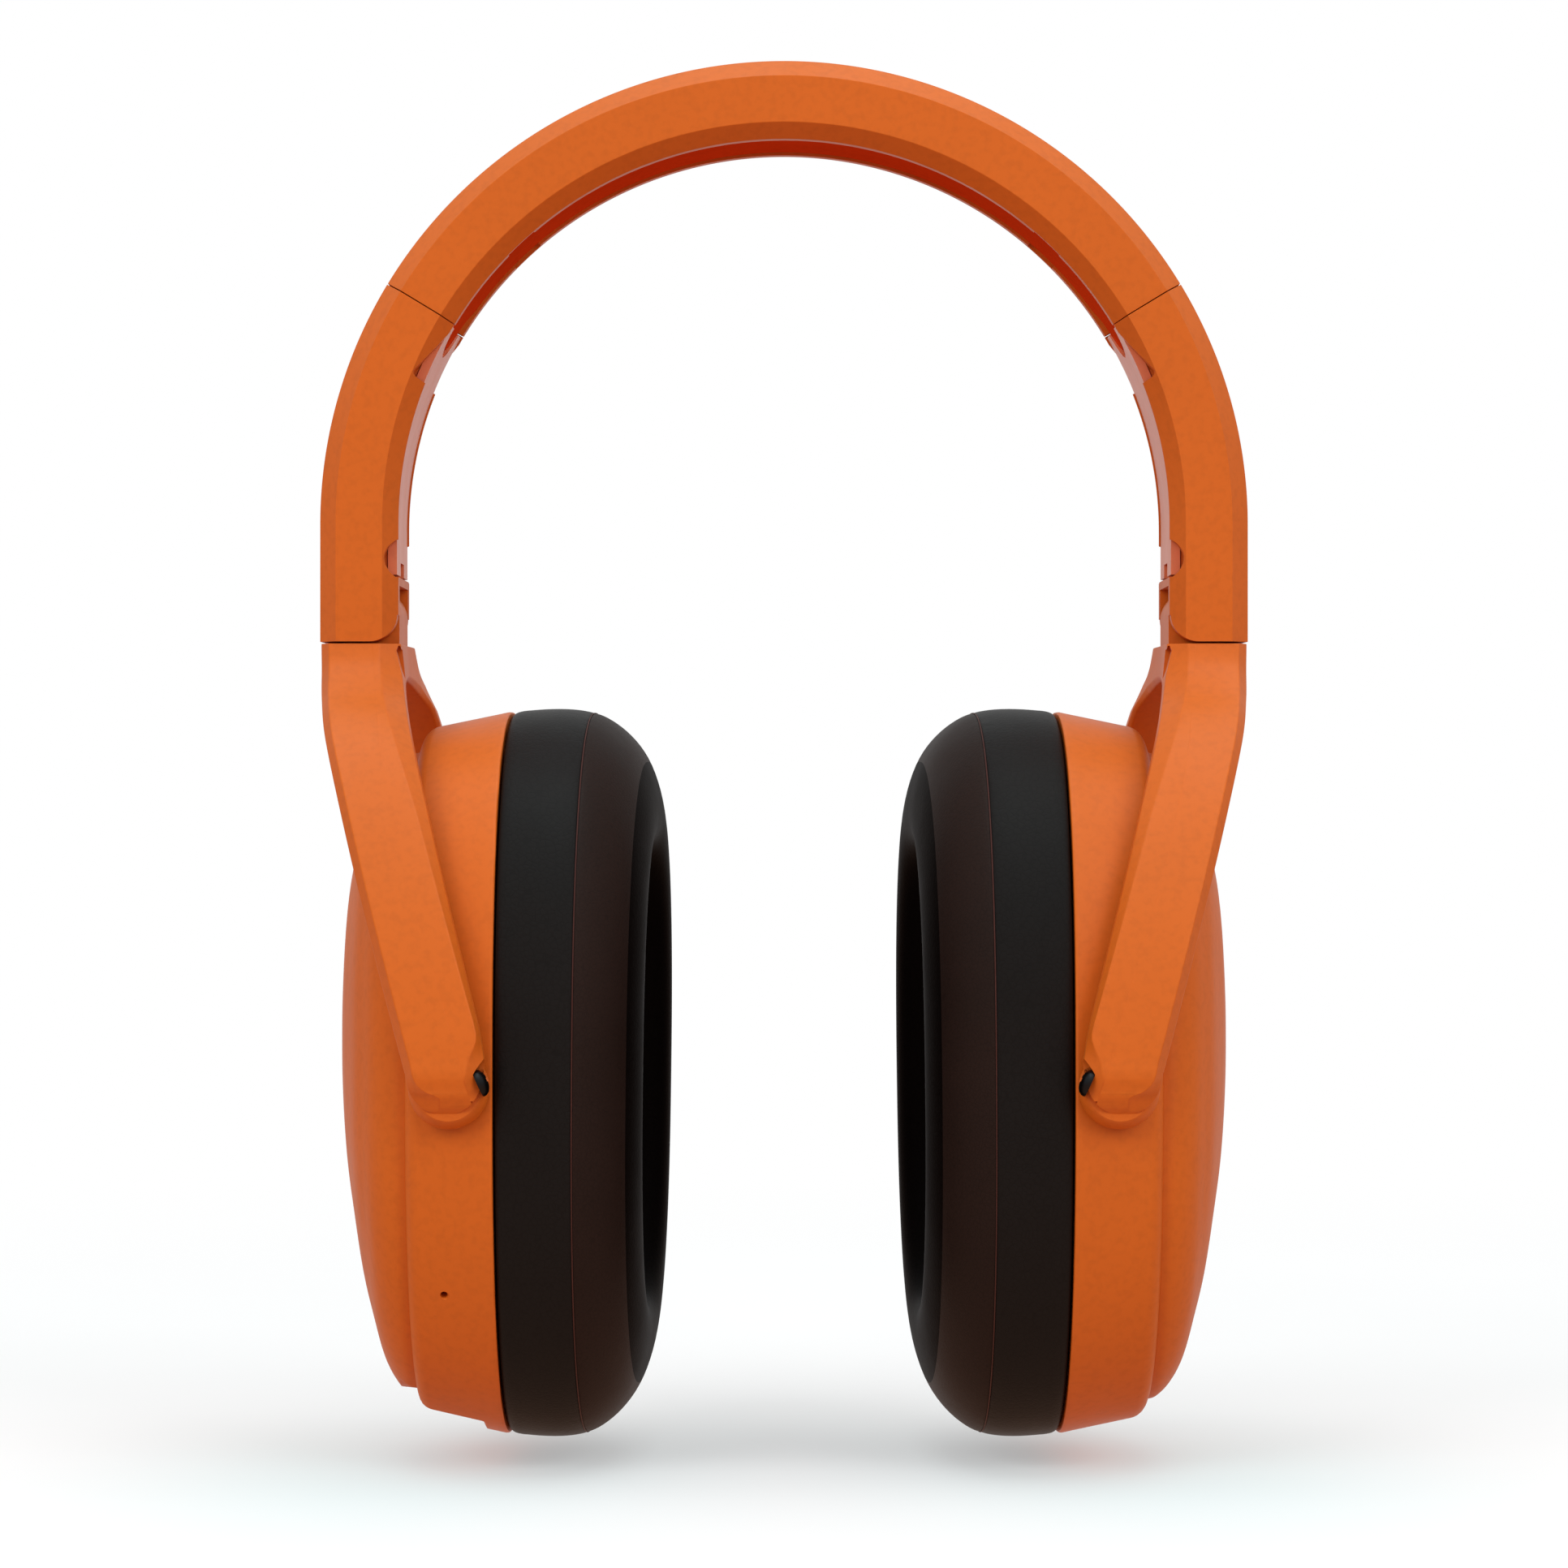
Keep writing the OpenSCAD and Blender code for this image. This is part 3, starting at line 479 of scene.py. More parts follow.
def arm(side, mir):
    v, f = loft([[arm_pt(s, r, y) for r, y in SEC] for s in arm_path(44, 8)])
    o = make(side + "_arm_shell_detail", v, f, M_ORANGE, mir)
    # recess for the inner plate
    w = 10.45
    st = arm_path(44, 1)
    st[0] = ("a", st[0][1] - 1.5)
    st[-1] = ("s", -FZ + 5.35)
    v, f = loft([[arm_pt(s, r, y) for r, y in [(RI - 2, -w), (RI - 2, w), (RI + 1.6, w), (RI + 1.6, -w)]] for s in st])
    cut(o, make("tool", v, f, [], mir, sharp=None))
    # rounded lower corner of the ears
    R = 3.75
    pts = [(-FX + 9, -FZ), (-FX + R, -FZ)] + [(-FX + R * math.cos(math.radians(t)), -FZ + R * math.sin(math.radians(t))) for t in range(-5, -90, -5)] \
        + [(-FX, -FZ - R), (-FX, -FZ - 9), (-FX + 9, -FZ - 9)]
    cut(o, prism_obj(pts, -20, 20, mir))
    # knuckle space
    R = 4.2
    pts = [(-FX + 9, -FZ - 9), (-FX + 9, -FZ + R), (-FX, -FZ + R)] \
        + [(-FX + R * math.cos(math.radians(t)), -FZ + R * math.sin(math.radians(t))) for t in range(95, 180, 5)] \
        + [(-FX - R, -FZ), (-FX - R, -FZ - 9)]
    cut(o, prism_obj(pts, -8.5, 8.5, mir))
    # scalloped notches: a long one under the seam, a small one above the hinge
    for sy in (-1, 1):
        pts = []
        for k in range(0, 25):
            s = k / 24
            a = 180 - SEAM + 1.6 + 8.2 * s
            d = 2.3 * (s ** 1.25) * (1 if s < 0.86 else max(0.0, 1 - ((s - 0.86) / 0.14) ** 2) ** 0.5)
            p = arc_pt(RI + 0.05 + d, a, 0)
            pts.append((p[0], p[2]))
        e, b = arc_pt(RI - 3, 180 - SEAM + 9.8, 0), arc_pt(RI - 3, 180 - SEAM + 1.6, 0)
        pts += [(e[0], e[2]), (b[0], b[2])]
        cut(o, prism_obj(pts, *sorted((sy * 9.9, sy * 14.5)), mir))
        cz = -FZ + 7.9
        pts = [(-RI + 2, cz + 3.4)] + [(-RI - 1.9 * math.sin(math.radians(t)) ** 1.5 if 0 < t < 180 else -RI, cz + 2.7 * math.cos(math.radians(t))) for t in range(0, 181, 12)] + [(-RI + 2, cz - 3.4)]
        cut(o, prism_obj(pts, *sorted((sy * 9.9, sy * 14.5)), mir))
    # hinge pin's open end at the rear
    cut(o, cyl_obj((-FX, 8, -FZ), (0, 1, 0), 1.52, 24, mirror=mir))
    tool = cyl_obj((-FX, -10.2, -FZ), (0, 1, 0), 1.52, 3.6, mirror=mir)
    cut(o, tool)
    bevel(o, 0.25, 2)
    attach(o, side + "_arm")
    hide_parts(side + "_arm_shell")
    # inner plate with the pocket for the liner's tongue
    w = 10.3
    st = arm_path(44, 4)
    st = [("a", st[0][1] + 0.25)] + st[1:-4] + [("s", ARC_Z - 3), ("s", -FZ + 5.7)]
    v, f = loft([[arm_pt(s, r, y) for r, y in [(RI + 0.22, -w), (RI + 0.22, w), (RI + 1.5, w), (RI + 1.5, -w)]] for s in st])
    p = make(side + "_arm_inner_plate_detail", v, f, M_INNER_WITH_PAINTED_SHEEN, mir)
    rings = []
    for k in range(0, 21):
        s = -1.2 + 5.7 * k / 20                      # along the arc past the seam
        a = 180 - SEAM + s / 0.952
        q = min(1.0, max(0.0, (4.5 - s) / 4.6))
        hw = 5.5 * math.sqrt(max(0.0004, 1 - (1 - q) ** 2)) if s > -0.1 else 5.5
        rings.append([arc_pt(r, a, y) for r, y in [(RI - 1, -hw), (RI - 1, hw), (RI + 1.3, hw), (RI + 1.3, -hw)]])
    v, f = loft(rings)
    cut(p, make("tool", v, f, [], mir, sharp=None))
    cut(p, box_obj((-RI - 3, -3.2, -FZ + 5.0), (-RI + 2, 3.2, -FZ + 7.6), mir))
    bevel(p, 0.14, 2)
    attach(p, side + "_arm")
    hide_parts(side + "_arm_inner_plate")
for side, mir in SIDES:
    arm(side, mir)

# ------------------------------------------------------------------ yokes
YK = [[0, 0, 0, 5.15], [6.5, 0, 4.5, 5.55], [13.3, 0, 9, 6.65], [14.6, 3.2, 11.5, 7.55],
      [18.2, 6.8, 14.5, 9.05], [23, 10.3, 18.4, 11.65], [28, 15, 22.6, 15.25],
      [32.4, 21, 26.9, 20.15], [36.4, 28.1, 31.2, 26.85], [39.9, 36.2, 34.9, 35.25],
      [42.3, 44.6, 37.3, 44.25], [43.7, 53, 38.8, 52.85], [44.2, 59.05, 39.2, 59.05]]
ER, EX, ED = 5.2, -45.7, 59.05               # round end: radius, centre x, centre's drop
FR, FXC, FD = 3.7, -46.3, 57.75              # the flat facet's own smaller round end
YO = [(-9, -64.9), (0, -64.9), (7, -64.6), (12, -63.65), (22, -60.9), (ED, EX - ER)]
YI = [(-9, -53.7), (0, -53.7), (3, -53.6), (7, -52.9), (11.5, -51.85), (16, -50.6), (23.4, -48.6), (52.7, -41.0), (57, -40.25), (ED, EX + ER)]
YM = [(-9, -57.8), (0, -57.8), (16, -55.3), (34, -50.7), (46, -46.8), (59.75, -42.8), (66, -41.2)]
LEAN = [(-3, 0.4), (0, 0.4), (4, 0.9), (9, 1.9), (16, 1.9), (26, 1.0), (36, 0)]
CHI = [(0, 2.9), (7, 2.9), (14, 2.2), (24, 1.4), (40, 0.8), (53, 0.35)]      # inner chamfer against drop
def yw(d, y=0.0):
    """Outer, parting and inner x at a drop below the yoke's top; the rear arm leans in."""
    m = smooth_lookup(d, YM)
    ln = lookup(d, LEAN) * min(1.0, max(0.0, y / 14))
    if d <= ED - 3:
        return smooth_lookup(d, YO), m, smooth_lookup(d, YI, 1.6) + ln
    if d <= ED:
        return lookup(d, YO), m, lookup(d, YI)
    e = d - ED
    w = math.sqrt(max(0.0, ER * ER - e * e))
    return EX - w, m, EX + w
def facet_x(d, y):
    """The flat facet's two edges."""
    xo, m, xi = yw(d, y)
    if d <= FD:
        t = max(0.0, min(1.0, (d - 53.0) / (FD - 53.0)))
        t = t * t * (3 - 2 * t)
        return xo + 1.25, (xi - lookup(d, CHI)) * (1 - t) + (FXC + FR) * t
    w = math.sqrt(max(0.0, FR * FR - (d - FD) ** 2))
    return FXC - w, FXC + w

def yoke_station_list():
    """Half outline: straight bridge, corner, then the curved arm, then its round end."""
    pts = [YK[0] + [0], [3.2, 0, 2.3, 5.25, 0], YK[1] + [0], [9.2, 0, 6.3, 5.95, 0], YK[2] + [1]]
    arm_ = spline(YK[2:], 7)[1:]
    body = [q + [1] for q in arm_]
    d0 = arm_[-1][1]
    end = [[44.2, d, 39.2, d, 1] for d in (59.5, 60.1, 60.7, 61.1, 61.35)]
    for k in range(1, 11):
        d = 61.45 + (ED + ER - 61.45) * math.sin(math.radians(88.5 * k / 10))
        end.append([44.2, d, 39.2, d, 1])
    return pts + body + end
ST = yoke_station_list()
SEAM_LAP = 0.03          # each half runs this far past the parting line, so only a hairline is left

def yoke_section(s, sd, outer):
    O, I = (s[0], s[1]), (s[2], s[3])
    L = math.hypot(O[0] - I[0], O[1] - I[1])
    mp = lambda t: (O[0] + (I[0] - O[0]) * t, O[1] + (I[1] - O[1]) * t)
    near = s[4]
    def P(x, q): return (x, q[0] * sd, -YTOP - q[1])
    if s[1] <= FD:
        t = min(1.0, s[1] / 6)
        dy, dd = (I[0] - O[0]) / L * t - (1 - t), (I[1] - O[1]) / L * t
        n = math.hypot(dy, dd)
        c, c2 = (2.2 / n, 1.7 / n) if near else (0.2, 0.2)
        A, B, q, Q = (O[0] + dy * c, O[1] + dd * c), (O[0] + dy * c2, O[1] + dd * c2), mp(0.86), mp(1.0)
        if not near and O[0] < 0.3: A = B = (O[0] - 0.01, O[1])
        W = lambda p: yw(p[1], p[0] * sd)
        f0, f1 = facet_x(O[1], O[0] * sd)
        if not near:
            f0, f1 = W(O)[0] + 0.25, W(O)[2] - 0.25
        if outer:
            return [P(W(A)[0], A), P(f0, O), P(W(O)[1] + SEAM_LAP, O), P(W(Q)[1] + SEAM_LAP, Q), P(W(Q)[0] + 0.8, Q), P(W(q)[0], q)]
        return [P(W(O)[1] - SEAM_LAP, O), P(f1, O), P(W(B)[2], B), P(W(q)[2], q), P(W(Q)[2] - 0.6, Q), P(W(Q)[1] - SEAM_LAP, Q)]
    # round end: the facet shrinks on its own circle, and beyond that the chamfer falls away
    d = s[1]
    xo, m, xi = yw(d)
    f0, f1 = facet_x(d, 44.2 * sd)
    yf = 44.2 if d < 61.45 else 44.2 - 2.8 * (d - 61.45) / (ED + ER - 61.45)
    y_c, y_c2 = min(42.0, yf - 0.02), min(42.5, yf - 0.01)
    k = max(0.02, (xi - xo) / (2 * ER))
    def X(x, y): return (x, y * sd, -YTOP - d)
    if outer:
        lim = min(m + SEAM_LAP, xi - 0.02)
        a = min(f0, lim - 0.03)
        b = min(max(f1, a + 0.01), lim)
        return [X(xo, y_c), X(a, yf), X(lim, yf if f1 >= lim else yf - 0.001 - (lim - b) * (yf - y_c2) / max(0.05, xi - f1)), X(lim, 39.2), X(xo + 0.5 * k, 39.2), X(xo, 39.9)]
    lo = m - SEAM_LAP
    top = yf if f1 >= lo else yf - (lo - f1) * (yf - y_c2) / max(0.05, xi - f1)
    return [X(lo, top), X(max(lo + 0.01, f1), min(top, yf)), X(max(lo + 0.02, xi), y_c2), X(max(lo + 0.02, xi), 39.9),
            X(max(lo + 0.01, xi - 0.4), 39.2), X(lo, 39.2)]

def yoke_mesh(side, mir, outer):
    sts = ST
    if not outer:
        sts = [s for s in ST if s[1] <= ED or yw(s[1])[2] > yw(s[1])[1] + 0.35]
    rings = [yoke_section(s, -1, outer) for s in reversed(sts[1:])] + [yoke_section(s, 1, outer) for s in sts]
    w = [0.22, 0.22, 0.07, 0.07, 0.3, 0.22] if outer else [0.07, 0.22, 0.22, 0.22, 0.3, 0.07]
    v, f = loft([round_ring(r, w) for r in rings])
    return make(f"{side}_yoke_{'outer' if outer else 'inner'}_detail", v, f, M_ORANGE, mir, sharp=35)

SCREW_AX = Vector((math.cos(math.radians(24.4)), 0, math.sin(math.radians(24.4))))
def screw_at(sd):
    return Vector((-41.2, sd * 42, -TZ + 0.5))

def yoke(side, mir):
    o = yoke_mesh(side, mir, True)
    i = yoke_mesh(side, mir, False)
    # knuckle of the fold hinge with its neck
    R = 3.85
    pts = [(-FX + R * math.cos(math.radians(t)), -FZ + R * math.sin(math.radians(t))) for t in range(0, 181, 6)]
    pts += [(-FX - R, -FZ - 4.02), (-FX - 0.2 + 0.35, -FZ - 4.02), (-FX + 0.35, -FZ - 6.5), (-FX + R, -FZ - 6.5)]
    k = prism_obj(pts, -8.2, 8.2, mir, name="knuckle")
    cut(i, k, "UNION")
    cut(i, cyl_obj((-FX, 0, -FZ), (0, 1, 0), 1.56, 30, mirror=mir))
    for sd in (-1, 1):
        c = screw_at(sd)
        for b in (o, i):
            cut(b, cyl_obj(c + SCREW_AX * 1.7, SCREW_AX, 2.02, 3.4, mirror=mir, seg=40, r2=3.1))
        # tapering slot beside the inner chamfer, under the bridge
        xz = [(-54.02, -71.1), (-54.3, -71.8), (-53.6, -74.6), (-53.05, -76.2), (-53.25, -74.2), (-53.5, -71.95), (-53.8, -71.15)]
        n = len(xz)
        y0, y1 = sorted((sd * 15.5, sd * 9.5))
        v = [(x, y, z) for y in (y0, y1) for x, z in xz]
        f = [tuple(range(n)), tuple(range(2 * n - 1, n - 1, -1))] + [(q, q + n, (q + 1) % n + n, (q + 1) % n) for q in range(n)]
        cut(i, make("tool", v, f, [], mir, sharp=None))
    for b in (o, i):
        for q in b.data.polygons: q.use_smooth = True
        b.data.set_sharp_from_angle(angle=math.radians(35))
        weight_normals(b)
    for p, n in ((o, "_yoke_outer"), (i, "_yoke_inner")):
        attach(p, side + "_yoke")
        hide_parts(side + n)
    # round seats of the tilt pins, under each arm's end
    for sd, nm in ((-1, "front"), (1, "rear")):
        prof = [(5.25, 39.2), (5.5, 39.3), (5.5, 39.6), (5.2, 40.4), (4.7, 41.2), (4.3, 41.6)]
        seg = 72
        rings = [[(-45.25 + r * math.cos(2 * math.pi * a / seg), sd * y, -TZ - 0.3 + r * math.sin(2 * math.pi * a / seg)) for a in range(seg)] for r, y in prof]
        v, f = loft(rings)
        s = make(f"{side}_tilt_seat_{nm}", v, f, M_ORANGE, mir, sharp=35)
        c = screw_at(sd)
        cut(s, cyl_obj(c + SCREW_AX * 1.7, SCREW_AX, 2.02, 3.4, mirror=mir, seg=40, r2=3.1))
        bevel(s, 0.10, 2, angle=30)
        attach(s, side + "_yoke")
        # black cross-recessed screw on its sloping seat
        prof = [(0.05, 1.40), (0.65, 1.36), (1.2, 1.20), (1.62, 0.92), (1.88, 0.54), (1.96, 0.22), (1.92, 0.02), (0.8, 0.0), (0.8, -5.2), (0.05, -5.4)]
        seg = 40
        u, w = Vector((0, 1, 0)), SCREW_AX.cross(Vector((0, 1, 0)))
        rings = [[tuple(c + SCREW_AX * x + (u * math.cos(2 * math.pi * a / seg) + w * math.sin(2 * math.pi * a / seg)) * r) for a in range(seg)] for r, x in reversed(prof)]
        v, f = loft(rings)
        b = make(f"{side}_yoke_screw_{nm}", v, f, M_SCREW, mir, sharp=50)
        Rm = Matrix.Rotation(math.radians(-24.4), 3, "Y")
        for lo, hi in (((0.6, -0.28, -1.1), (2.0, 0.28, 1.1)), ((0.6, -1.1, -0.28), (2.0, 1.1, 0.28))):
            vs = [tuple(c + Rm @ Vector((x, y, z))) for x in (lo[0], hi[0]) for y in (lo[1], hi[1]) for z in (lo[2], hi[2])]
            cut(b, make("tool", vs, [(0, 1, 3, 2), (4, 6, 7, 5), (0, 4, 5, 1), (2, 3, 7, 6), (0, 2, 6, 4), (1, 5, 7, 3)], [], mir, sharp=None))
        for p in b.data.polygons: p.use_smooth = True
        b.data.set_sharp_from_angle(angle=math.radians(50))
        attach(b, side + "_yoke")
        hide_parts(side + "_yoke_screws")
for side, mir in SIDES:
    yoke(side, mir)

# --------------------------------------------------------------- ear cups
def toe_rot(p):
    t = math.radians(-TOE)
    x, y = p[0] + TX, p[1]
    return (x * math.cos(t) - y * math.sin(t) - TX, x * math.sin(t) + y * math.cos(t), p[2])

def ring(x, a, b, w=0.0, n=CN, seg=144):
    out = []
    for k in range(seg):
        t = 2 * math.pi * k / seg
        c, s = math.cos(t), math.sin(t)
        y = a * math.copysign(abs(c) ** (2 / n), c)
        z = b * math.copysign(abs(s) ** (2 / n), s)
        out.append(toe_rot((x + w * (y * 0.033 + z * 0.012), y, z - CZ)))
    return out

def even_ring(x, a, b, w=0.0, n=CN, seg=144):
    """The same outline with its points evenly spaced along it."""
    P = []
    M = 720
    for k in range(M):
        t = 2 * math.pi * k / M
        c, s = math.cos(t), math.sin(t)
        P.append((a * math.copysign(abs(c) ** (2 / n), c), b * math.copysign(abs(s) ** (2 / n), s)))
    D = [0.0]
    for k in range(M):
        p, q = P[k], P[(k + 1) % M]
        D.append(D[-1] + math.hypot(q[0] - p[0], q[1] - p[1]))
    out = []
    k = 0
    for i in range(seg):
        s = D[-1] * i / seg
        while D[k + 1] < s: k += 1
        u = (s - D[k]) / max(1e-9, D[k + 1] - D[k])
        p, q = P[k % M], P[(k + 1) % M]
        y, z = p[0] + (q[0] - p[0]) * u, p[1] + (q[1] - p[1]) * u
        out.append(toe_rot((x + w * (y * 0.033 + z * 0.012), y, z - CZ)))
    return out

def rim(y):
    """Height of the housing's outline below its centre, midway up the draft."""
    return (CB - 1.68) * (1 - (abs(y) / (CA - 1.68)) ** CN) ** (1 / CN)
def recess_tool(x0, st, mir):
    """Prism that follows the rim, for the recess round the charging socket."""
    R = Matrix.Rotation(math.radians(6.1), 3, "Y")
    A = Vector((x0, 0, -CZ - rim(0)))
    rings = []
    for x, d in st:
        r = [(x, -15, -6), (x, 15, -6), (x, 15.0, d + rim(0) - rim(15) - 0.7)]
        r += [(x, 14.75, d + rim(0) - rim(14.75) - 0.2), (x, 14.3, d + rim(0) - rim(14.3))]
        r += [(x, y, d + rim(0) - rim(y)) for y in [13.5 - 1.5 * k for k in range(19)]]
        r += [(x, -14.3, d + rim(0) - rim(14.3)), (x, -14.75, d + rim(0) - rim(14.75) - 0.2), (x, -15.0, d + rim(0) - rim(15) - 0.7)]
        rings.append([toe_rot(tuple(A + R @ Vector(q))) for q in r])
    v, f = loft(rings)
    return make("tool", v, f, [], mir, sharp=None)
HX0, HX1, HX2 = -38.45, -48.7, -50.7
def housing(side, mir):
    prof = [(HX2, 6.4), (HX2, 5.2), (HX2 + 0.01, 4.55), (HX2 + 0.10, 3.95), (HX2 + 0.32, 3.35), (HX2 + 0.68, 2.82), (HX2 + 1.15, 2.44), (HX2 + 1.6, 2.22), (HX1, 2.1)]
    for k in range(1, 7):
        prof.append((HX1 + (HX0 - 0.5 - HX1) * k / 7, 2.1 + (0.1 - 2.1) * k / 7))
    prof += [(HX0 - 0.5, 0.09), (HX0 - 0.15, 0.12), (HX0, 0.26), (HX0, 2.9), (HX0 - 0.6, 2.9), (HX1 + 0.6, 4.9)]
    v, f = loft([even_ring(x, CA - d, CB - d) for x, d in prof], loop=True)
    o = make(side + "_cup_housing_detail", v, f, M_ORANGE, mir, sharp=40)
    if side == "left":
        # microphone hole with its small countersink
        d = (Matrix.Rotation(math.radians(22), 3, "X") @ Vector((0, -1, 0))).normalized()
        q = Vector(toe_rot((-45.5, -32.4, -CZ - 28.9)))
        cut(o, cyl_obj(q - d * 2.0, d, 0.5, 5.6, 32, mir))
        cut(o, cyl_obj(q + d * 0.10, d, 0.5, 0.5, 32, mir, r2=0.85))
        # recess round the charging socket, following the rim, and the socket's opening
        cut(o, recess_tool(-47.3, [(-7.5, 2.36), (3.75, 2.36), (4.1, 2.3), (4.4, 2.1), (4.65, 1.8), (4.9, 1.35), (5.15, 0.75), (5.45, 0.1), (5.8, -0.45), (6.3, -1.0)], mir))
        sl = box_obj((-48.8, -4.7, -CZ - CB), (-45.0, 4.7, -CZ - CB + 9), mir)
        bevel(sl, 1.2, 4, angle=30)
        cut(o, sl)
    bevel(o, 0.10, 2, angle=38)
    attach(o, side + "_cup")
    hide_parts(side + "_cup_housing")

# half height, x, and rise of the ring's centre above the cup's
DOME = [(0.8, -62.36, 4.8), (8.5, -62.2, 4.9), (14, -61.8, 5.0), (21.6, -61, 5.5), (27.3, -60, 5.0), (33.8, -58.55, 3.3),
        (38.1, -57.1, 1.9), (41.9, -55.65, 0.75), (44.3, -54.0, 0.1), (45.6, -52.2, -0.4), (45.8, -50.85, -0.6)]
def cap(side, mir):
    pts = spline([list(p) for p in DOME], 5)
    rings = []
    for b, x, c in pts:
        rings.append([(p[0], p[1], p[2] + c) for p in even_ring(x, b * 0.73, b)])
    rings += [[(p[0], p[1], p[2] - 0.6) for p in even_ring(-50.62, 33.45, 45.82)], even_ring(-50.62, 31.4, 43.2)]
    v, f = loft(rings)
    o = make(side + "_cup_cap_detail", v, f, M_ORANGE, mir, sharp=40)
    if side == "left":
        cut(o, recess_tool(-52.3, [(-4, 4.7), (3, 4.7)], mir))
    bevel(o, 0.15, 2, angle=38)
    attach(o, side + "_cup")
    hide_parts(side + "_cup_cap")

def pa(b): return 38.7 - 0.93 * (51.4 - b)
SEAM_X = -27.1
LIP_AT = 6          # face rings from the seam to the start of the lip
def cushion(side, mir):
    SEG = 220
    # body of the pad up to the side seam: band of leather, a soft crease a third of the way up
    prof = [(-38.20, 46.0, 0), (-38.22, 49.9, 0), (-38.12, 50.55, 0), (-37.8, 50.92, 0.0), (-37.2, 51.12, 0), (-36.4, 51.24, 0),
            (-35.75, 51.27, 0.02), (-35.4, 51.31, 0.04), (-34, 51.42, 0.1), (-32, 51.50, 0.2), (-30, 51.42, 0.3), (-28.6, 51.24, 0.38),
            (-27.6, 51.02, 0.44), (SEAM_X - 0.12, 50.86, 0.48), (SEAM_X, 50.66, 0.49), (SEAM_X + 0.12, 50.82, 0.50)]
    n_side = len(prof)
    face = [(-26.6, 50.74, 0.52), (-25.6, 50.32, 0.58), (-24.3, 49.5, 0.66), (-23.0, 48.45, 0.73), (-21.8, 47.2, 0.80), (-20.7, 45.75, 0.86),
            (-19.75, 44.0, 0.91), (-19.0, 42.0, 0.95), (-18.45, 40.0, 0.98), (-18.1, 38.0, 1.0), (-17.95, 36.2, 1.0), (-18.05, 34.7, 1.0),
            (-18.45, 33.5, 0.98), (-19.15, 32.55, 0.94), (-20.2, 31.9, 0.86), (-21.6, 31.5, 0.75), (-24, 31.25, 0.55), (-28, 31.1, 0.3),
            (-33, 31.1, 0.1), (-38.2, 31.2, 0)]
    allp = prof + face
    rings = []
    for x, b, w in allp:
        rings.append(even_ring(x, pa(b), b, w, seg=SEG))
    v, f = loft(rings, loop=True)
    # material: side band, face, and the lip, a darker copy of the face leather whose extra darkness is painted shade
    fm = []
    n = len(allp)
    for i in range(n):
        for j in range(SEG):
            fm.append(0 if i < n_side - 1 else 1 if i < n_side + LIP_AT else 2)
    # gentle life in the skin: slow swelling along the face, tiny puckers at the seam
    out = []
    for i, (x, b, w) in enumerate(allp):
        for j in range(SEG):
            p = Vector(v[i * SEG + j])
            u = 2 * math.pi * j / SEG
            amp = 0.0
            if n_side <= i < n - 4: amp = 0.10
            nz = noise.noise(Vector((math.cos(u) * 2.1, math.sin(u) * 2.1, i * 0.13 + (7 if mir else 0))))
            ctr = Vector((x, 0, -CZ))
            radial = (p - ctr); radial.x = 0
            if radial.length > 0: radial.normalize()
            near = math.exp(-((x - SEAM_X) / 0.9) ** 2) if i < n_side + 4 else 0
            puck = 0.045 * near * math.sin(u * 96 + 0.8 * nz * 6)
            p += radial * (amp * nz * 0.6 + puck)
            out.append(tuple(p))
    o = make(side + "_cushion_pad", out, f, [M_PAD, M_PAD2, M_LIP_PAINTED_SHADE], mir, sharp=None, face_mat=fm)
    for p in o.data.polygons: p.use_smooth = True
    sb = o.modifiers.new("sub", "SUBSURF"); sb.levels = 1; sb.render_levels = 1
    apply_mods(o)
    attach(o, side + "_cup")
    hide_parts(side + "_cushion")
    # the seam's piping thread, sunk in its groove
    K = 6
    prof = [(SEAM_X + 0.10 * math.cos(2 * math.pi * k / K), 50.84 + 0.10 * math.sin(2 * math.pi * k / K)) for k in range(K)]
    v, f = loft([even_ring(x, pa(b), b, 0.49, seg=SEG) for x, b in prof], loop=True)
    t = make(side + "_seam_thread", v, f, M_THREAD, mir, sharp=None)
    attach(t, side + "_cup")

for side, mir in SIDES:
    housing(side, mir)
    cap(side, mir)
    cushion(side, mir)

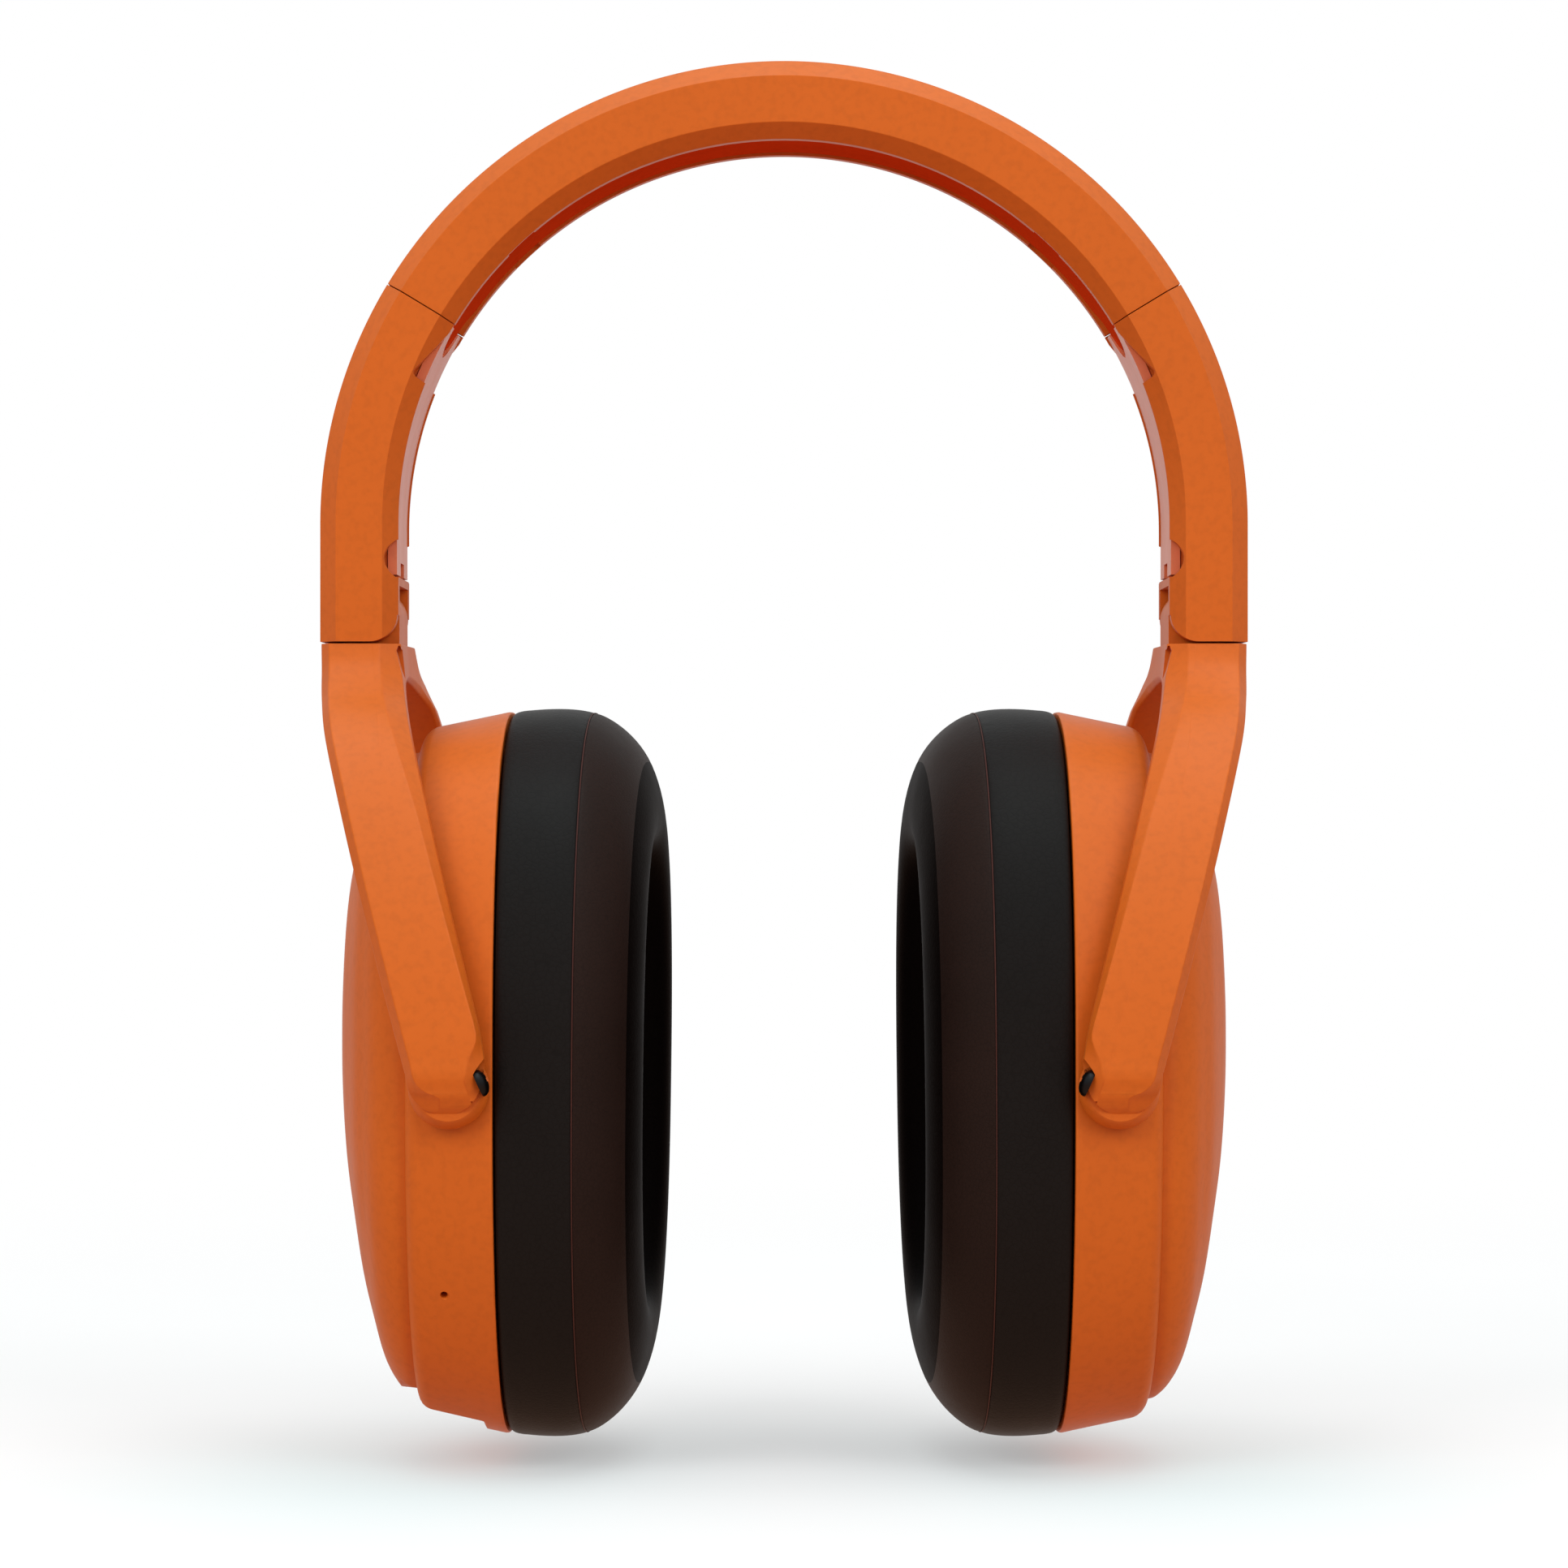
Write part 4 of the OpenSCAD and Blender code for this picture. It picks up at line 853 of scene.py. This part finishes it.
# ------------------------------------------------------------------ stage
def floor():
    """A pale floor that takes a soft shadow near the object and runs out to plain white."""
    m, nt, bs = new_mat("floor_pale")
    out = [n for n in nt.nodes if n.type == "OUTPUT_MATERIAL"][0]
    n = noise_tex(nt, 9, 3, 0.5)
    c = ramp(nt, n.outputs["Fac"], [(0.3, (0.912, 0.88, 0.882)), (0.7, (0.932, 0.90, 0.902))])
    # the shell's own bounce is warm, so the floor under the cups is a little cooler
    def fm(op, a, b):
        q = nt.nodes.new("ShaderNodeMath"); q.operation = op
        for k, v in ((0, a), (1, b)):
            if isinstance(v, (int, float)): q.inputs[k].default_value = v
            else: nt.links.new(v, q.inputs[k])
        return q.outputs[0]
    tc0 = nt.nodes.new("ShaderNodeTexCoord")
    sp = nt.nodes.new("ShaderNodeSeparateXYZ")
    nt.links.new(tc0.outputs["Object"], sp.inputs[0])
    dx = fm("MULTIPLY", fm("SUBTRACT", fm("ABSOLUTE", sp.outputs["X"], 0.0), 0.056), 1 / 0.036)
    dyy = fm("MULTIPLY", fm("ADD", sp.outputs["Y"], 0.02), 1 / 0.055)
    r2 = fm("ADD", fm("MULTIPLY", dx, dx), fm("MULTIPLY", dyy, dyy))
    mask = fm("POWER", 2.718, fm("MULTIPLY", r2, -1.0))
    cm = nt.nodes.new("ShaderNodeMix"); cm.data_type = "RGBA"
    nt.links.new(mask, cm.inputs[0])
    nt.links.new(c.outputs[0], cm.inputs[6])
    cm.inputs[7].default_value = (0.73, 0.87, 0.88, 1)
    nt.links.new(cm.outputs[2], bs.inputs["Base Color"])
    bs.inputs["Roughness"].default_value = 0.9
    bs.inputs["Specular IOR Level"].default_value = 0.0
    em = nt.nodes.new("ShaderNodeEmission")
    em.inputs["Color"].default_value = (1, 1, 1, 1)
    em.inputs["Strength"].default_value = 1.0
    tc = nt.nodes.new("ShaderNodeTexCoord")
    ln = nt.nodes.new("ShaderNodeVectorMath"); ln.operation = "LENGTH"
    sc = nt.nodes.new("ShaderNodeVectorMath"); sc.operation = "MULTIPLY"
    sc.inputs[1].default_value = (1, 1, 0)
    nt.links.new(tc.outputs["Object"], sc.inputs[0])
    nt.links.new(sc.outputs[0], ln.inputs[0])
    f = nt.nodes.new("ShaderNodeMapRange")
    f.interpolation_type = "SMOOTHSTEP"
    for k, v in (("From Min", 0.16), ("From Max", 0.55), ("To Min", 0.36), ("To Max", 1.0)):
        f.inputs[k].default_value = v
    nt.links.new(ln.outputs["Value"], f.inputs["Value"])
    mx = nt.nodes.new("ShaderNodeMixShader")
    nt.links.new(f.outputs[0], mx.inputs[0])
    nt.links.new(bs.outputs[0], mx.inputs[1])
    nt.links.new(em.outputs[0], mx.inputs[2])
    nt.links.new(mx.outputs[0], out.inputs[0])
    me = bpy.data.meshes.new("floor")
    z = -0.1862
    S = 8
    me.from_pydata([(-S, -S, z), (S, -S, z), (S, S, z), (-S, S, z)], [], [(0, 1, 2, 3)])
    me.materials.append(m)
    o = bpy.data.objects.new("floor", me)
    scene.collection.objects.link(o)
    o.visible_diffuse = False
    o.visible_glossy = False
floor()

def area(name, loc, look, size, power, size_y=None, color=(1, 1, 1)):
    d = bpy.data.lights.new(name, "AREA")
    d.energy = power
    d.size = size
    if size_y:
        d.shape = "RECTANGLE"; d.size_y = size_y
    d.color = color
    o = bpy.data.objects.new(name, d)
    scene.collection.objects.link(o)
    o.location = loc
    o.rotation_euler = (Vector(look) - Vector(loc)).to_track_quat("-Z", "Y").to_euler()
    return o
world = bpy.data.worlds.new("studio")
scene.world = world
world.use_nodes = True
wt = world.node_tree
bg = wt.nodes["Background"]
bg.inputs["Color"].default_value = (1, 1, 1, 1)
bg.inputs["Strength"].default_value = 1.0
# the camera sees plain white; the object sees a soft room, lighter overhead
bg2 = wt.nodes.new("ShaderNodeBackground")
gc = wt.nodes.new("ShaderNodeTexCoord")
sx = wt.nodes.new("ShaderNodeSeparateXYZ")
wt.links.new(gc.outputs["Generated"], sx.inputs[0])
mr = to_range(wt, sx.outputs["Z"], 0.0, 1.0, -1.0, 1.0)
wr = ramp(wt, mr.outputs[0], [(0.0, (0.66, 0.38, 0.26)), (0.35, (0.66, 0.41, 0.31)), (0.50, (0.55, 0.40, 0.34)), (0.60, (0.52, 0.47, 0.45)), (0.80, (0.68, 0.72, 0.72)), (1.0, (0.84, 0.95, 0.96))])
def wmath(op, a, b):
    n = wt.nodes.new("ShaderNodeMath"); n.operation = op
    for k, v in ((0, a), (1, b)):
        if isinstance(v, (int, float)): n.inputs[k].default_value = v
        else: wt.links.new(v, n.inputs[k])
    return n.outputs[0]
side = wmath("SUBTRACT", 1.0, wmath("MULTIPLY", wmath("POWER", wmath("ABSOLUTE", sx.outputs["X"], 0.0), 2.0), 0.10))
wv = wt.nodes.new("ShaderNodeVectorMath"); wv.operation = "SCALE"
wt.links.new(wr.outputs[0], wv.inputs[0])
wt.links.new(side, wv.inputs["Scale"])
back = to_range(wt, sx.outputs["Y"], 0.0, 1.0, 0.80, 0.97)
wm = wt.nodes.new("ShaderNodeMix"); wm.data_type = "RGBA"
wt.links.new(back.outputs[0], wm.inputs[0])
wt.links.new(wv.outputs[0], wm.inputs[6])
wm.inputs[7].default_value = (0.9, 0.9, 0.9, 1)
wt.links.new(wm.outputs[2], bg2.inputs["Color"])
lp = wt.nodes.new("ShaderNodeLightPath")
ms = wt.nodes.new("ShaderNodeMixShader")
wt.links.new(lp.outputs["Is Camera Ray"], ms.inputs[0])
wt.links.new(bg2.outputs[0], ms.inputs[1])
wt.links.new(bg.outputs[0], ms.inputs[2])
wt.links.new(ms.outputs[0], [n for n in wt.nodes if n.type == "OUTPUT_WORLD"][0].inputs[0])
area("top_softbox", (0.05, -0.20, 1.15), (0, 0, -0.1), 1.0, 4.6, color=(0.90, 1.0, 1.0))
for name, x, w in (("front_left", -1.15, 12.9), ("front_right", 1.15, 12.0)):
    area(name, (x, -1.35, 0.75), (0, 0, -0.1), 1.1, w).visible_glossy = False
